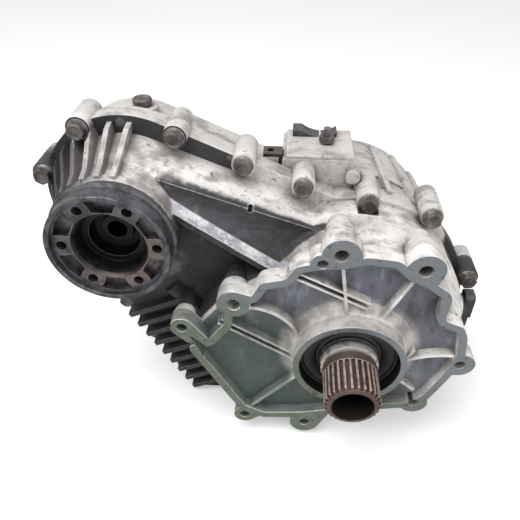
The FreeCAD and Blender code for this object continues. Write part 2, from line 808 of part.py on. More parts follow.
def rear_casing():
    """Rear casing: back half of the chain house, the clutch drum and the rear output boss."""
    back = size("house_back_y")
    draft = size("draft")
    end = size("rear_end_y")
    drum = size("case_radius")
    rear = size("rear_radius")
    thick = size("flange_thickness")
    boss = size("rear_boss_radius")
    outside = [
        Part.makeCylinder(13, 22, Vector(BREATHER[0], BREATHER[1], BREATHER[2] - 22)),
        flange_plate(PARTING, PARTING + thick),
        loft(belt(house_discs(0), PARTING), belt(house_discs(-draft), back - 5)),
        loft(belt(house_discs(-draft), back - 5), belt(house_discs(-draft - 5), back)),
        taper(CASE_X / 2, CASE_Z / 2, drum + draft, rear + 6, PARTING + 1, PARTING + 60),
        taper(0, 0, rear + 8, rear, PARTING + 40, end - 6),
        taper(0, 0, rear, rear - 14, end - 6, end),
        post(0, 0, boss, end - 2, end + size("rear_boss_length")),
        post(FRONT_X, FRONT_Z, size("end_bearing_outer") + 10, back - 1, back + 6),
        post(FILL_PLUG[0], FILL_PLUG[1], FILL_PLUG[2] + 6, back - 10, back + 3),
        post(DRAIN_PLUG[0], DRAIN_PLUG[1], DRAIN_PLUG[2] + 6, back - 10, back + 3),
    ]
    outside += tower() + long_ribs()
    for x, z in CASE_BOLTS:
        outside.append(bolt_boss(x, z, PARTING, PARTING + size("case_bolt_reach")))
    for i in range(6):
        turn = math.radians(75 + i * 30)
        reach = size("chain_end_radius") - 4
        tip = (FRONT_X + reach * math.cos(turn), FRONT_Z + reach * math.sin(turn))
        outside.append(strip((FRONT_X, FRONT_Z), tip, back + 5, back - 2, back - 8, 4))
    body = fused(outside)

    cavity = size("gear_cavity_radius")
    web = size("rear_bearing_y") - size("pump_width") - 1
    seal_pocket = size("rear_bearing_outer") - 2
    bearing_end = size("rear_bearing_y") + size("rear_bearing_width")
    pocket_front = chain_end() + size("sprocket_hub_length")
    room = [
        inside_house(PARTING - 1, back - WALL, (BACK_PINCH, 0)),
        taper(0, 0, cavity, cavity - 4, PARTING - 1, web),
        post(0, 0, size("rear_bearing_outer"), web - 1, bearing_end),
        post(0, 0, seal_pocket, bearing_end - 1, end + size("rear_boss_length") + 1),
    ]
    for x, z in CASE_BOLTS:
        room.append(post(x, z, size("case_bolt_radius"), PARTING - 1, PARTING + size("case_bolt_reach") - 3))
    for x, z, radius in (FILL_PLUG, DRAIN_PLUG):
        room.append(post(x, z, radius, back - WALL - 1, back + 5))
    for x, z, radius in DOWELS:
        room.append(post(x, z, radius, PARTING - 1, PARTING + 8))
    body = body.cut(fused(room))
    seat = size("end_bearing_outer")
    cup = post(FRONT_X, FRONT_Z, seat + WALL, pocket_front + 1, back)
    body = body.fuse(cup)
    return body.cut(post(FRONT_X, FRONT_Z, seat, pocket_front, pocket_front + size("end_bearing_width")))


CASE_BOLTS = case_bolts()


# --- Chain drive --------------------------------------------------------------------------------------

def sprocket_pitch_radius():
    """Radius at which the chain's pins run round a sprocket."""
    return size("sprocket_teeth") * size("chain_pitch") / (2 * math.pi)


def chain_end():
    """Y of the back of the chain."""
    return size("chain_y") + size("chain_width")


def chain_loop(offset, notch):
    """Closed outline of the chain, offset outwards from its pitch line, stepped in at each pin."""
    radius = sprocket_pitch_radius()
    along = Vector(FRONT_X, 0, FRONT_Z)
    span = along.Length
    along.normalize()
    side = along.cross(ACROSS)
    loop = 2 * span + 2 * math.pi * radius
    links = 2 * round(loop / size("chain_pitch") / 2)
    step = loop / links
    points = []
    for i in range(links):
        for share, drop in ((0.1, 0), (0.9, 0), (1.0, notch)):
            points.append(chain_point((i + share) * step, offset - drop, radius, span, along, side))
    return polygon(points)


def chain_point(travel, offset, radius, span, along, side):
    """Point at a distance along the chain's path, moved outwards by offset."""
    bend = math.pi * radius
    loop = 2 * (span + bend)
    travel %= loop
    if travel < span:
        return along * travel + side * (radius + offset)
    travel -= span
    if travel < bend:
        turn = travel / radius
        out = side * math.cos(turn) + along * math.sin(turn)
        return along * span + out * (radius + offset)
    travel -= bend
    if travel < span:
        return along * (span - travel) - side * (radius + offset)
    turn = (travel - span) / radius
    out = side * -math.cos(turn) - along * math.sin(turn)
    return out * (radius + offset)


def drive_chain():
    """Silent chain as one closed band of notched links."""
    height = size("chain_height")
    gap = size("chain_inner_gap")
    start = size("chain_y")
    outer = prism(chain_loop(height - gap, 1.2), start, chain_end())
    inner = prism(chain_loop(gap, -0.6), start - 1, chain_end() + 1)
    return outer.cut(inner)


def sprocket(x, z, bore):
    """Chain sprocket with a hub at each end."""
    tip = sprocket_pitch_radius() - size("face_gap")
    root = tip - size("sprocket_tooth_height")
    start = size("chain_y")
    teeth = toothed(int(size("sprocket_teeth")), root, tip, 0.62, 0.3)
    wheel = prism(teeth, start + 0.5, chain_end() - 0.5)
    wheel.translate(flat(x, z))
    hub = size("sprocket_hub_radius")
    reach = size("sprocket_hub_length")
    body = wheel.fuse(post(x, z, hub, start - reach + 0.5, chain_end() + reach - 0.5))
    return body.cut(post(x, z, bore, start - reach - 1, chain_end() + reach + 1))


# --- Centre differential ---------------------------------------------------------------------------

GEAR_FRONT = size("carrier_y") + size("carrier_plate") + size("face_gap")
GEAR_BACK = GEAR_FRONT + size("gear_width")


def pitch_radius(teeth):
    """Pitch radius of a gear of the differential."""
    return size("tooth_module") * size(teeth) / 2


def annulus_pitch():
    """Pitch radius of the annulus, which spans the sun and two planets."""
    return pitch_radius("sun_teeth") + 2 * pitch_radius("planet_teeth")


def planet_places():
    """Centres of the planet gears."""
    count = int(size("planet_count"))
    orbit = pitch_radius("sun_teeth") + pitch_radius("planet_teeth")
    turns = [2 * math.pi * i / count for i in range(count)]
    return [(orbit * math.cos(turn), orbit * math.sin(turn), turn) for turn in turns]


def gear_outline(teeth, turn):
    """Outline of an outside gear with trimmed teeth."""
    radius = size("tooth_module") * teeth / 2
    slack = size("tooth_backlash") / size("tooth_module")
    tip = radius + 0.65 * size("tooth_module")
    root = radius - 1.1 * size("tooth_module")
    return toothed(teeth, root, tip, 0.68 - slack, 0.36 - slack, turn)


def planet_gears():
    """Planet gears, each bored for its pin."""
    teeth = int(size("planet_teeth"))
    gears = []
    for x, z, turn in planet_places():
        mesh = turn * (1 + size("sun_teeth") / teeth) + math.pi / teeth
        gear = prism(gear_outline(teeth, mesh), GEAR_FRONT, GEAR_BACK)
        gear.translate(flat(x, z))
        bore = size("planet_pin_radius") + size("running_gap")
        gears.append(gear.cut(post(x, z, bore, GEAR_FRONT - 1, GEAR_BACK + 1)))
    return Part.makeCompound(gears)


def planet_pins():
    """Pins that carry the planets between the carrier's plates."""
    start = size("carrier_y")
    end = GEAR_BACK + size("face_gap") + size("carrier_plate")
    radius = size("planet_pin_radius")
    return Part.makeCompound([post(x, z, radius, start, end) for x, z, _ in planet_places()])


def planet_carrier():
    """Two plates tied by four bridges, with a splined hub on the input shaft."""
    start = size("carrier_y")
    plate = size("carrier_plate")
    radius = size("carrier_radius")
    back = GEAR_BACK + size("face_gap")
    orbit = planet_places()[0][0]
    front_plate = post(0, 0, radius, start, start + plate)
    back_plate = post(0, 0, radius, back, back + plate)
    shapes = [front_plate, back_plate]
    count = int(size("planet_count"))
    bridge = 6.0
    for i in range(count):
        turn = 2 * math.pi * (i + 0.5) / count
        x = (orbit + 4) * math.cos(turn)
        z = (orbit + 4) * math.sin(turn)
        shapes.append(post(x, z, bridge, start, back + plate))
    body = fused(shapes)
    holes = [
        post(0, 0, size("input_seal_land"), start - 1, start + plate + 0.5),
        post(0, 0, size("main_shaft_radius") + 8, back - 1, back + plate + 1),
    ]
    for x, z, _ in planet_places():
        holes.append(post(x, z, size("planet_pin_radius"), start - 1, back + plate + 1))
    return body.cut(fused(holes))


def sun_gear():
    """Sun gear on the main shaft."""
    teeth = int(size("sun_teeth"))
    gear = prism(gear_outline(teeth, 0), GEAR_FRONT, GEAR_BACK)
    return gear.cut(post(0, 0, size("main_shaft_radius"), GEAR_FRONT - 1, GEAR_BACK + 1))


def annulus_gear():
    """Internal gear with a web that reaches back to the drive sprocket's hub."""
    teeth = int(size("sun_teeth") + 2 * size("planet_teeth"))
    radius = annulus_pitch()
    module = size("tooth_module")
    slack = size("tooth_backlash") / module
    back = size("chain_y") - size("sprocket_hub_length") + 0.5
    web = size("annulus_web")
    carrier_back = GEAR_BACK + size("face_gap") + size("carrier_plate")
    gaps = toothed(teeth, radius - 0.5 * module, radius + 1.2 * module, 0.84 + slack, 0.5 + slack,
                   math.pi / teeth)
    drum = post(0, 0, size("annulus_outer"), GEAR_FRONT, back)
    body = drum.cut(prism(gaps, GEAR_FRONT - 1, GEAR_BACK))
    body = body.cut(post(0, 0, size("carrier_radius") + 4, GEAR_BACK - 1, carrier_back + 0.5))
    body = body.cut(post(0, 0, size("main_shaft_radius") + 2, GEAR_BACK, back + 1))
    trim = post(0, 0, size("annulus_outer") + 1, carrier_back + web, back + 1)
    return body.cut(trim.cut(post(0, 0, size("sprocket_hub_radius"), carrier_back, back + 2)))


# --- Clutch that locks the centre differential ---------------------------------------------------

def clutch_plates(inner, outer, first):
    """Every second plate of the clutch pack, as separate rings."""
    pitch = size("clutch_plate") + size("face_gap")
    start = size("clutch_y") + 8
    plates = []
    for i in range(int(size("clutch_pairs"))):
        y = start + (2 * i + first) * pitch
        disc = post(0, 0, outer, y, y + size("clutch_plate"))
        plates.append(disc.cut(post(0, 0, inner, y - 1, y + size("clutch_plate") + 1)))
    return Part.makeCompound(plates)


# --- Fasteners --------------------------------------------------------------------------------------

def hexagon(across, start, end):
    """Hexagonal bar along Y, by its width across flats."""
    corner = across / math.sqrt(3)
    points = [flat(corner * math.cos(math.radians(60 * i)), corner * math.sin(math.radians(60 * i)))
              for i in range(6)]
    return prism(polygon(points), start, end)


def flange_bolt(x, z, head_y, tip_y, radius):
    """Flange-head bolt whose head stands in front of head_y."""
    collar = radius * 2.1
    bolt = post(0, 0, radius, head_y - 1, tip_y)
    bolt = bolt.fuse(post(0, 0, collar, head_y - 2, head_y))
    bolt = bolt.fuse(hexagon(radius * 3.2, head_y - radius * 2, head_y - 1))
    bolt.translate(flat(x, z))
    return bolt


def casing_bolts():
    """Bolts round the parting flange, heads to the front."""
    head = PARTING - size("case_bolt_reach")
    tip = PARTING + size("case_bolt_reach") - 4
    radius = size("case_bolt_radius") - 0.15
    return Part.makeCompound([flange_bolt(x, z, head, tip, radius) for x, z in CASE_BOLTS])


# --- The document ------------------------------------------------------------------------------------

def build_castings():
    """Casings, chain, gears and other pieces whose shapes are worked out above."""
    named_feature("front_casing", front_casing())
    named_feature("rear_casing", rear_casing())
    named_feature("casing_bolts", casing_bolts())
    named_feature("drive_chain", drive_chain())
    named_feature("planet_carrier", planet_carrier())
    named_feature("planet_gears", planet_gears())
    named_feature("planet_pins", planet_pins())
    named_feature("sun_gear", sun_gear())
    named_feature("annulus_gear", annulus_gear())
    needle = size("main_shaft_radius") + size("needle_thickness")
    named_feature("drive_sprocket", sprocket(0, 0, needle + size("running_gap")))
    named_feature("driven_sprocket", sprocket(FRONT_X, FRONT_Z, size("front_shaft_radius")))
    inner = size("clutch_hub_radius")
    outer = size("clutch_outer") - size("clutch_drum_wall")
    gap = size("face_gap")
    named_feature("clutch_friction_plates", clutch_plates(inner, outer - 3, 0))
    named_feature("clutch_steel_plates", clutch_plates(inner + 3, outer - gap, 1))


def input_shaft():
    """Hollow splined input shaft."""
    reach = "input_reach"
    tail = "carrier_y + carrier_plate - 0.3"
    corners = (
        ("input_bore_radius", 0),
        ("input_spline_root - 1", 0),
        ("input_spline_radius", 2.5),
        ("input_spline_radius", f"{reach} - 13"),
        ("input_spline_root + 0.4", f"{reach} - 12.6"),
        ("input_spline_root + 0.4", f"{reach} - 11.8"),
        ("input_collar_radius", f"{reach} - 11.4"),
        ("input_collar_radius", f"{reach} + input_seal_front_y"),
        ("input_seal_land", f"{reach} + input_seal_front_y + 0.5"),
        ("input_seal_land", f"{reach} + input_bearing_y"),
        ("input_bearing_bore - running_gap", f"{reach} + input_bearing_y"),
        ("input_bearing_bore - running_gap", f"{reach} + input_bearing_y + input_bearing_width"),
        ("input_seal_land", f"{reach} + input_bearing_y + input_bearing_width"),
        ("input_seal_land", f"{reach} + {tail}"),
        ("pilot_radius + running_gap", f"{reach} + {tail}"),
        ("pilot_radius + running_gap", f"{reach} + 12"),
        (0, f"{reach} + 12"),
        (0, "input_bore_depth"),
        ("input_bore_radius", "input_bore_depth"),
    )
    body = turned("input_shaft", 0, f"0 - {reach}", 0, corners)
    doc.recompute()
    gap = sketch_on(body, "XZ_Plane", "input_spline_gap")
    wide = "input_spline_gap_width / 2"
    narrow = "input_spline_gap_width / 3"
    draw_polygon(gap, (
        ("input_spline_root", f"0 - {narrow}"),
        ("input_spline_radius + 1", f"0 - {wide}"),
        ("input_spline_radius + 1", wide),
        ("input_spline_root", narrow),
    ))
    cut_pattern(body, "input_spline", gap, "input_spline_teeth", "input_spline_length")


def build_input():
    """Input shaft with its seal, bearing and snap ring."""
    input_shaft()
    gap = "running_gap"
    pocket = "input_bearing_outer"
    land = f"input_seal_land + {gap}"
    ring("input_seal", 0, "input_seal_front_y + 0.6", 0, land, pocket, "input_seal_length")
    ring("input_bearing", 0, "input_bearing_y", 0, "input_bearing_bore", pocket, "input_bearing_width")
    snap_ring("input_snap_ring", 0, "input_bearing_y + input_bearing_width + 0.1", 0, pocket)


def snap_ring(label, x, y, z, pocket):
    """Internal snap ring with its gap, in the groove behind a bearing."""
    outer = worth(pocket) + 1.8
    back = worth(y) + 1.9
    centre = (worth(x), worth(z))
    body = post(*centre, outer, worth(y), back).cut(post(*centre, outer - 5, worth(y) - 1, back + 1))
    slot = Part.makeBox(14, 4, 30, Vector(centre[0] - 7, worth(y) - 1, centre[1] - outer - 20))
    named_feature(label, body.cut(slot))


def rear_shaft():
    """Main shaft from the input shaft's pilot bore to the rear flange."""
    start = "13"
    corners = (
        (0, 0),
        ("pilot_radius - 1", 0),
        ("pilot_radius", 1),
        ("pilot_radius", f"carrier_y + carrier_plate - {start}"),
        ("main_shaft_radius", f"carrier_y + carrier_plate - {start}"),
        ("main_shaft_radius", f"clutch_y - {start}"),
        ("main_shaft_radius + 3", f"clutch_y - {start}"),
        ("main_shaft_radius + 3", f"clutch_y + clutch_length - {start}"),
        ("rear_bearing_bore + 3", f"rear_bearing_y - pump_width - 1 - {start}"),
        ("rear_bearing_bore + 3", f"rear_bearing_y - {start}"),
        ("rear_bearing_bore - running_gap", f"rear_bearing_y - {start}"),
        ("rear_bearing_bore - running_gap", f"rear_bearing_y + rear_bearing_width - {start}"),
        ("main_shaft_radius", f"rear_bearing_y + rear_bearing_width - {start}"),
        ("main_shaft_radius", f"rear_flange_y - 2 - {start}"),
        ("pilot_radius", f"rear_flange_y - 2 - {start}"),
        ("pilot_radius", f"rear_flange_y + rear_flange_thickness + 2 - {start}"),
        (0, f"rear_flange_y + rear_flange_thickness + 2 - {start}"),
    )
    turned("rear_output_shaft", 0, start, 0, corners)


def build_rear_output():
    """Main shaft, clutch drum, rear bearing, seal, flange and nut."""
    rear_shaft()
    needle = "main_shaft_radius + needle_thickness"
    ring("sprocket_needle_bearing", 0, "chain_y - 5", 0, "main_shaft_radius + running_gap", needle,
         "chain_width + 10")
    hub = (
        ("main_shaft_radius + 3", 2),
        ("clutch_hub_radius - face_gap", 2),
        ("clutch_hub_radius - face_gap", "clutch_length - 2"),
        ("clutch_hub_radius - 5", "clutch_length - 2"),
        ("clutch_hub_radius - 5", 12),
        ("main_shaft_radius + 3", 12),
    )
    turned("clutch_hub", 0, "clutch_y", 0, hub)
    wall = "clutch_drum_wall"
    hub_back = "(chain_width + sprocket_hub_length - 0.5)"
    drum = (
        (needle + " + 1", 0),
        ("sprocket_hub_radius", 0),
        ("sprocket_hub_radius", f"clutch_y - chain_y - {hub_back} - 5"),
        ("clutch_outer", f"clutch_y - chain_y - {hub_back} - 5"),
        ("clutch_outer", f"clutch_y + clutch_length - 2 - chain_y - {hub_back}"),
        (f"clutch_outer - {wall}", f"clutch_y + clutch_length - 2 - chain_y - {hub_back}"),
        (f"clutch_outer - {wall}", f"clutch_y - chain_y - {hub_back}"),
        (needle + " + 1", f"clutch_y - chain_y - {hub_back}"),
    )
    turned("clutch_drum", 0, f"chain_y + {hub_back}", 0, drum)
    plate = (
        ("clutch_hub_radius + face_gap", 0),
        (f"clutch_outer - {wall} - 1", 0),
        (f"clutch_outer - {wall} - 1", 5),
        ("clutch_hub_radius + face_gap", 5),
    )
    turned("pressure_plate", 0, "clutch_y + 8 + 2 * clutch_pairs * (clutch_plate + face_gap)", 0, plate)
    bore = "rear_bearing_outer"
    ring("rear_bearing", 0, "rear_bearing_y", 0, "rear_bearing_bore", bore, "rear_bearing_width")
    ring("rear_seal", 0, "rear_end_y - 2", 0, "front_hub_radius + running_gap", f"{bore} - 2",
         "rear_boss_length")
    seat = "rear_flange_y - rear_bearing_y - rear_bearing_width"
    face = f"{seat} + rear_flange_thickness"
    flange = (
        ("main_shaft_radius", 0),
        ("front_hub_radius", 0),
        ("front_hub_radius", f"{seat} - 4"),
        ("rear_flange_radius", f"{seat} - 1"),
        ("rear_flange_radius", face),
        ("rear_flange_radius - 16", face),
        ("rear_flange_radius - 20", f"{seat} + 3"),
        ("main_shaft_radius", f"{seat} + 3"),
    )
    body = turned("rear_output_flange", 0, "rear_bearing_y + rear_bearing_width + face_gap", 0, flange)
    cut_round_hole(body, "rear_flange_holes", "front_bolt_hole", "front_bolt_circle + 3", "front_bolts", 60)
    nut = hexagon(30, worth("rear_flange_y + 3 + face_gap"), worth("rear_flange_y + 10"))
    nut = nut.cut(post(0, 0, size("pilot_radius"), worth("rear_flange_y"), worth("rear_flange_y + 12")))
    named_feature("rear_flange_nut", nut)


def build_front_output():
    """Front output shaft, its bearings, seal, flange and nut."""
    x = "front_axis_x"
    z = "front_axis_z"
    gap = "running_gap"
    shaft_start = "front_nut_y - 3"
    hub_back = f"chain_y - sprocket_hub_length - ({shaft_start})"
    wheel_back = f"chain_y + chain_width + sprocket_hub_length - 0.5 - ({shaft_start})"
    shaft = (
        ("front_shaft_radius - 12", 0),
        ("front_spline_radius - 4.5", 0),
        ("front_spline_radius - 4", 1),
        ("front_spline_radius - 4", f"front_nut_y + front_nut_length - ({shaft_start})"),
        ("front_spline_radius", f"front_nut_y + front_nut_length - ({shaft_start})"),
        ("front_spline_radius", hub_back),
        ("front_shaft_radius", hub_back),
        ("front_shaft_radius", wheel_back),
        (f"end_bearing_bore - {gap}", wheel_back),
        (f"end_bearing_bore - {gap}", f"{wheel_back} + end_bearing_width - 0.5"),
        ("front_shaft_radius - 12", f"{wheel_back} + end_bearing_width - 0.5"),
    )
    turned("front_output_shaft", x, shaft_start, z, shaft)
    ring("front_output_bearing", x, "front_bearing_y", z, f"front_hub_radius + {gap}", "front_bearing_outer",
         "front_bearing_width")
    snap_ring("front_bearing_snap_ring", x, "front_bearing_y + front_bearing_width + 0.1", z,
              "front_bearing_outer")
    ring("front_end_bearing", x, "chain_y + chain_width + sprocket_hub_length", z, "end_bearing_bore",
         "end_bearing_outer", "end_bearing_width")
    ring("front_output_seal", x, "front_neck_y + 2", z, f"front_hub_radius + {gap}", "front_bearing_outer", 9)
    rim = "front_flange_radius"
    floor = "front_flange_floor"
    depth = "front_flange_depth"
    hub_end = "chain_y - sprocket_hub_length - front_flange_y"
    nut_seat = "front_nut_y + front_nut_length + 0.3 - front_flange_y"
    flange = (
        ("front_shaft_radius", f"{floor} + 13"),
        ("front_hub_radius - 1.5", f"{floor} + 13"),
        ("front_hub_radius - 1", f"{floor} + 12"),
        ("front_hub_radius + 1.5", f"{floor} + 1"),
        ("front_hub_radius + 3", "front_pad_depth + 1"),
        (f"{rim} - 4.5", "front_pad_depth"),
        (f"{rim} - 4", 0.6),
        (f"{rim} - 3.4", 0),
        (f"{rim} - 0.6", 0),
        (rim, 0.6),
        (rim, depth),
        (f"{rim} + 2", f"{depth} + 1.5"),
        (f"{rim} + 2", f"{depth} + 3"),
        (f"{rim} - 3", f"{depth} + 3"),
        ("front_hub_radius + 8", f"{depth} + 3.5"),
        ("front_hub_radius", f"{depth} + 8"),
        ("front_hub_radius", hub_end),
        ("front_spline_radius", hub_end),
        ("front_spline_radius", nut_seat),
        ("front_shaft_radius", nut_seat),
    )
    body = turned("front_output_flange", x, "front_flange_y", z, flange)
    cut_round_hole(body, "front_flange_holes", "front_bolt_hole", "front_bolt_circle", "front_bolts", 30)
    pocket = sketch_on(body, "XZ_Plane", "front_flange_pocket")
    outline = ((30, -7.5), (35, -9.5), (40, -12.5), (42.3, 0), (40, 12.5), (35, 9.5), (30, 7.5))
    draw_polygon(pocket, [(f"{r} * cos(30) - ({t}) * sin(30)", f"{r} * sin(30) + ({t}) * cos(30)")
                          for r, t in outline])
    cut_pattern(body, "front_flange_pockets", pocket, "front_bolts", "front_pocket_depth")
    nut = (
        (f"front_spline_radius - 4 + {gap}", 0),
        ("front_shaft_radius - 1.5", 0),
        ("front_shaft_radius - 0.6", 1),
        ("front_shaft_radius - 0.6", "front_nut_length"),
        (f"front_spline_radius - 4 + {gap}", "front_nut_length"),
    )
    turned("front_flange_nut", x, "front_nut_y", z, nut)


def build_clutch_control():
    """Thrust washer, cam ring, its balls and the fixed ring, and the oil pump beside them."""
    stack = "clutch_y + 8 + 2 * clutch_pairs * (clutch_plate + face_gap) + 5"
    inner = "rear_bearing_bore + 5"
    ring("thrust_washer", 0, f"{stack} + face_gap", 0, "clutch_hub_radius + 1", "cam_outer", 2)
    cam = size("cam_outer")
    thick = size("cam_thickness")
    start = worth(f"{stack} + 2 + 2 * face_gap")
    hole = worth(inner)
    plate = post(0, 0, cam, start, start + thick)
    lever = prism(belt(((0, 0, 20), (16, 62, 6))), start, start + thick)
    cam_ring = plate.fuse(lever).cut(post(0, 0, hole, start - 1, start + thick + 1))
    named_feature("cam_ring", cam_ring.cut(post(16, 62, 3, start - 1, start + thick + 1)))
    back = worth("rear_bearing_y - pump_width - 1")
    front = start + thick + size("face_gap")
    fixed = post(0, 0, cam, front, back).cut(post(0, 0, hole, front - 1, back + 1))
    named_feature("cam_reaction_ring", fixed)
    pump_start = back + 0.5
    pump_end = pump_start + size("pump_width")
    lobes = toothed(8, size("rear_bearing_bore") + 6, size("pump_ring_inner") - 0.5, 0.7, 0.4)
    rotor = prism(lobes, pump_start, pump_end).cut(
        post(0, 0, size("rear_bearing_bore") + 3, pump_start - 1, pump_end + 1))
    named_feature("oil_pump_rotor", rotor)
    ring("oil_pump_ring", 0, "rear_bearing_y - pump_width - 0.5", 0, "pump_ring_inner",
         "rear_bearing_outer", "pump_width")


def socket_plug(label, place):
    """Threaded plug with a flanged head and a hexagon socket, set in the back wall."""
    x, z, radius = place
    seat = size("house_back_y") + 3
    plug = post(x, z, radius - 0.1, seat - 12, seat + 1)
    plug = plug.fuse(post(x, z, radius + 3.5, seat, seat + 4.5))
    key = hexagon(10, seat - 3, seat + 6)
    key.translate(flat(x, z))
    named_feature(label, plug.cut(key))


def build_sump():
    """Plugs, magnet, strainer and pick-up pipe."""
    socket_plug("fill_plug", FILL_PLUG)
    socket_plug("drain_plug", DRAIN_PLUG)
    floor = FLOOR_Z + WALL
    middle = (PARTING + size("house_back_y")) / 2
    magnet = Part.makeCylinder(11, 5, Vector(-118, middle - 22, floor + 0.3))
    named_feature("sump_magnet", magnet)
    strainer = Part.makeBox(46, 22, 12, Vector(-84, middle - 4, floor + 0.3))
    edges = [edge for edge in strainer.Edges if abs(edge.tangentAt(0).z) > 0.9]
    strainer = strainer.makeFillet(4, edges)
    named_feature("oil_strainer", strainer)
    foot = Vector(-61, middle + 7, floor + 12.3)
    rise = 26.0
    bend = 8.0
    wall = size("house_back_y") - WALL - size("face_gap")
    top = foot + Vector(0, 0, rise)
    turn = Part.Arc(top, top + Vector(0, bend * (1 - math.cos(math.pi / 4)), bend * math.sin(math.pi / 4)),
                    top + Vector(0, bend, bend))
    run = Vector(top.x, wall, top.z + bend)
    path = Part.Wire([
        Part.LineSegment(foot, top).toShape(),
        turn.toShape(),
        Part.LineSegment(top + Vector(0, bend, bend), run).toShape(),
    ])
    section = Part.Wire(Part.makeCircle(4, foot, Vector(0, 0, 1)))
    named_feature("oil_pickup_pipe", path.makePipeShell([section], True, True))


def bind(thing, **expressions):
    """Primitive with its sizes and place bound to the sheet."""
    for name, text in expressions.items():
        thing.setExpression(name.replace("__", "."), bound(text))
    return thing


def primitive(kind, name, x, y, z, **sizes):
    """Part primitive placed by three expressions."""
    thing = doc.addObject(f"Part::{kind}", name)
    bind(thing, Placement__Base__x=x, Placement__Base__y=y, Placement__Base__z=z, **sizes)
    return thing


def joined(kind, label, base, tool):
    """Boolean of two document objects, under the sub-part's own name."""
    result = doc.addObject(f"Part::{kind}", label)
    result.Label = label
    result.Base = base
    result.Tool = tool
    return result


def build_tower():
    """Control cap on the tower, its stud, the harness bracket, breather and speed sensor."""
    front = "parting_y + flange_thickness - 1"
    wide = "tower_right_x - tower_left_x - 4"
    block = primitive("Box", "cap_block", "tower_left_x + 3", front, "tower_top_z",
                      Length=wide, Width="tower_length", Height="cap_height")
    scoop = primitive("Cylinder", "cap_scoop", "(tower_right_x + tower_left_x) / 2 + 7",
                      f"{front} - 1", "tower_top_z + 4 + tower_length",
                      Radius="tower_length", Height="tower_length + 2")
    scoop.Placement.Rotation = Rotation(Vector(1, 0, 0), -90)
    joined("Cut", "control_cap", block, scoop)
    stud_x = "(tower_right_x + tower_left_x) / 2 + 7"
    stud_y = f"{front} + tower_length / 2"
    shank = primitive("Cylinder", "stud_shank", stud_x, stud_y, "tower_top_z + 4.6", Radius=3, Height=12)
    nut = primitive("Prism", "stud_nut", stud_x, stud_y, "tower_top_z + 4.6", Circumradius=6.5, Height=5)
    joined("Fuse", "control_stud", shank, nut)

    side = size("tower_left_x")
    plate = Part.makeBox(3, 14, 12, Vector(side - 3, PARTING + 12, 109))
    tongue = Part.makeBox(16, 14, 3, Vector(side - 16, PARTING + 12, 121))
    tongue = tongue.cut(Part.makeCylinder(3, 5, Vector(side - 10, PARTING + 19, 120)))
    named_feature("harness_bracket", plate.fuse(tongue))
    x, y, z = BREATHER
    neck = Part.makeCylinder(6, 3, Vector(x, y, z))
    cap = Part.makeCylinder(8, 4, Vector(x, y, z + 2.5))
    named_feature("breather", neck.fuse(cap.makeFillet(1.5, [cap.Edges[0]])))


def build_sensor():
    """Speed sensor, its bolt and the dowels between the casings."""
    x, y, z = SENSOR
    foot = Part.makeCylinder(10, 3, Vector(x, y, z), Vector(1, 0, 0))
    body = Part.makeBox(8, 14, 26, Vector(x + 2, y - 7, z - 10))
    ends = [edge for edge in body.Edges if abs(edge.tangentAt(0).x) > 0.9]
    body = body.makeFillet(4, ends)
    plug = Part.makeBox(6, 10, 12, Vector(x + 3, y - 5, z - 20))
    named_feature("speed_sensor", fused([foot, body, plug]))
    start = PARTING - 8
    pins = [post(px, pz, radius, start, PARTING + 8) for px, pz, radius in DOWELS]
    named_feature("dowel_pins", Part.makeCompound(pins))


def finish():
    """Recompute, test every object and write each sub-part's STEP file."""
    doc.recompute()
    for thing in doc.Objects:
        if "Invalid" in thing.State or "Error" in thing.State:
            raise RuntimeError(f"{thing.Name} did not compute: {thing.State}")
    used = set()
    for thing in doc.Objects:
        if thing.TypeId in ("Part::Cut", "Part::Fuse", "Part::Common"):
            used.update((thing.Base.Name, thing.Tool.Name))
    wanted = ("PartDesign::Body", "Part::Feature", "Part::Cut", "Part::Fuse", "Part::Common",
              "Part::Fillet", "Part::Box", "Part::Cylinder")
    os.makedirs("parts", exist_ok=True)
    for thing in doc.Objects:
        if thing.TypeId not in wanted or thing.Name in used:
            continue
        shape = thing.Shape
        if shape.isNull() or not shape.isValid() or not shape.Solids:
            raise RuntimeError(f"{thing.Label} has no valid solid")
        shape.exportStep(f"parts/{thing.Label}.step")


build_castings()
build_input()
build_rear_output()
build_front_output()
build_clutch_control()
build_sump()
build_tower()
build_sensor()
finish()
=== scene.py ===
"""Looks of a chain-drive transfer case: finishes, seals, bolts, floor, light and camera.

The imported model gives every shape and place. This script dresses its nodes with procedural
finishes, replaces the plain seals and bolts with finer meshes, and sets the stage.
"""

import json
import logging
import math
from dataclasses import dataclass
from enum import Enum

import bmesh
import bpy
from mathutils import Matrix, Vector

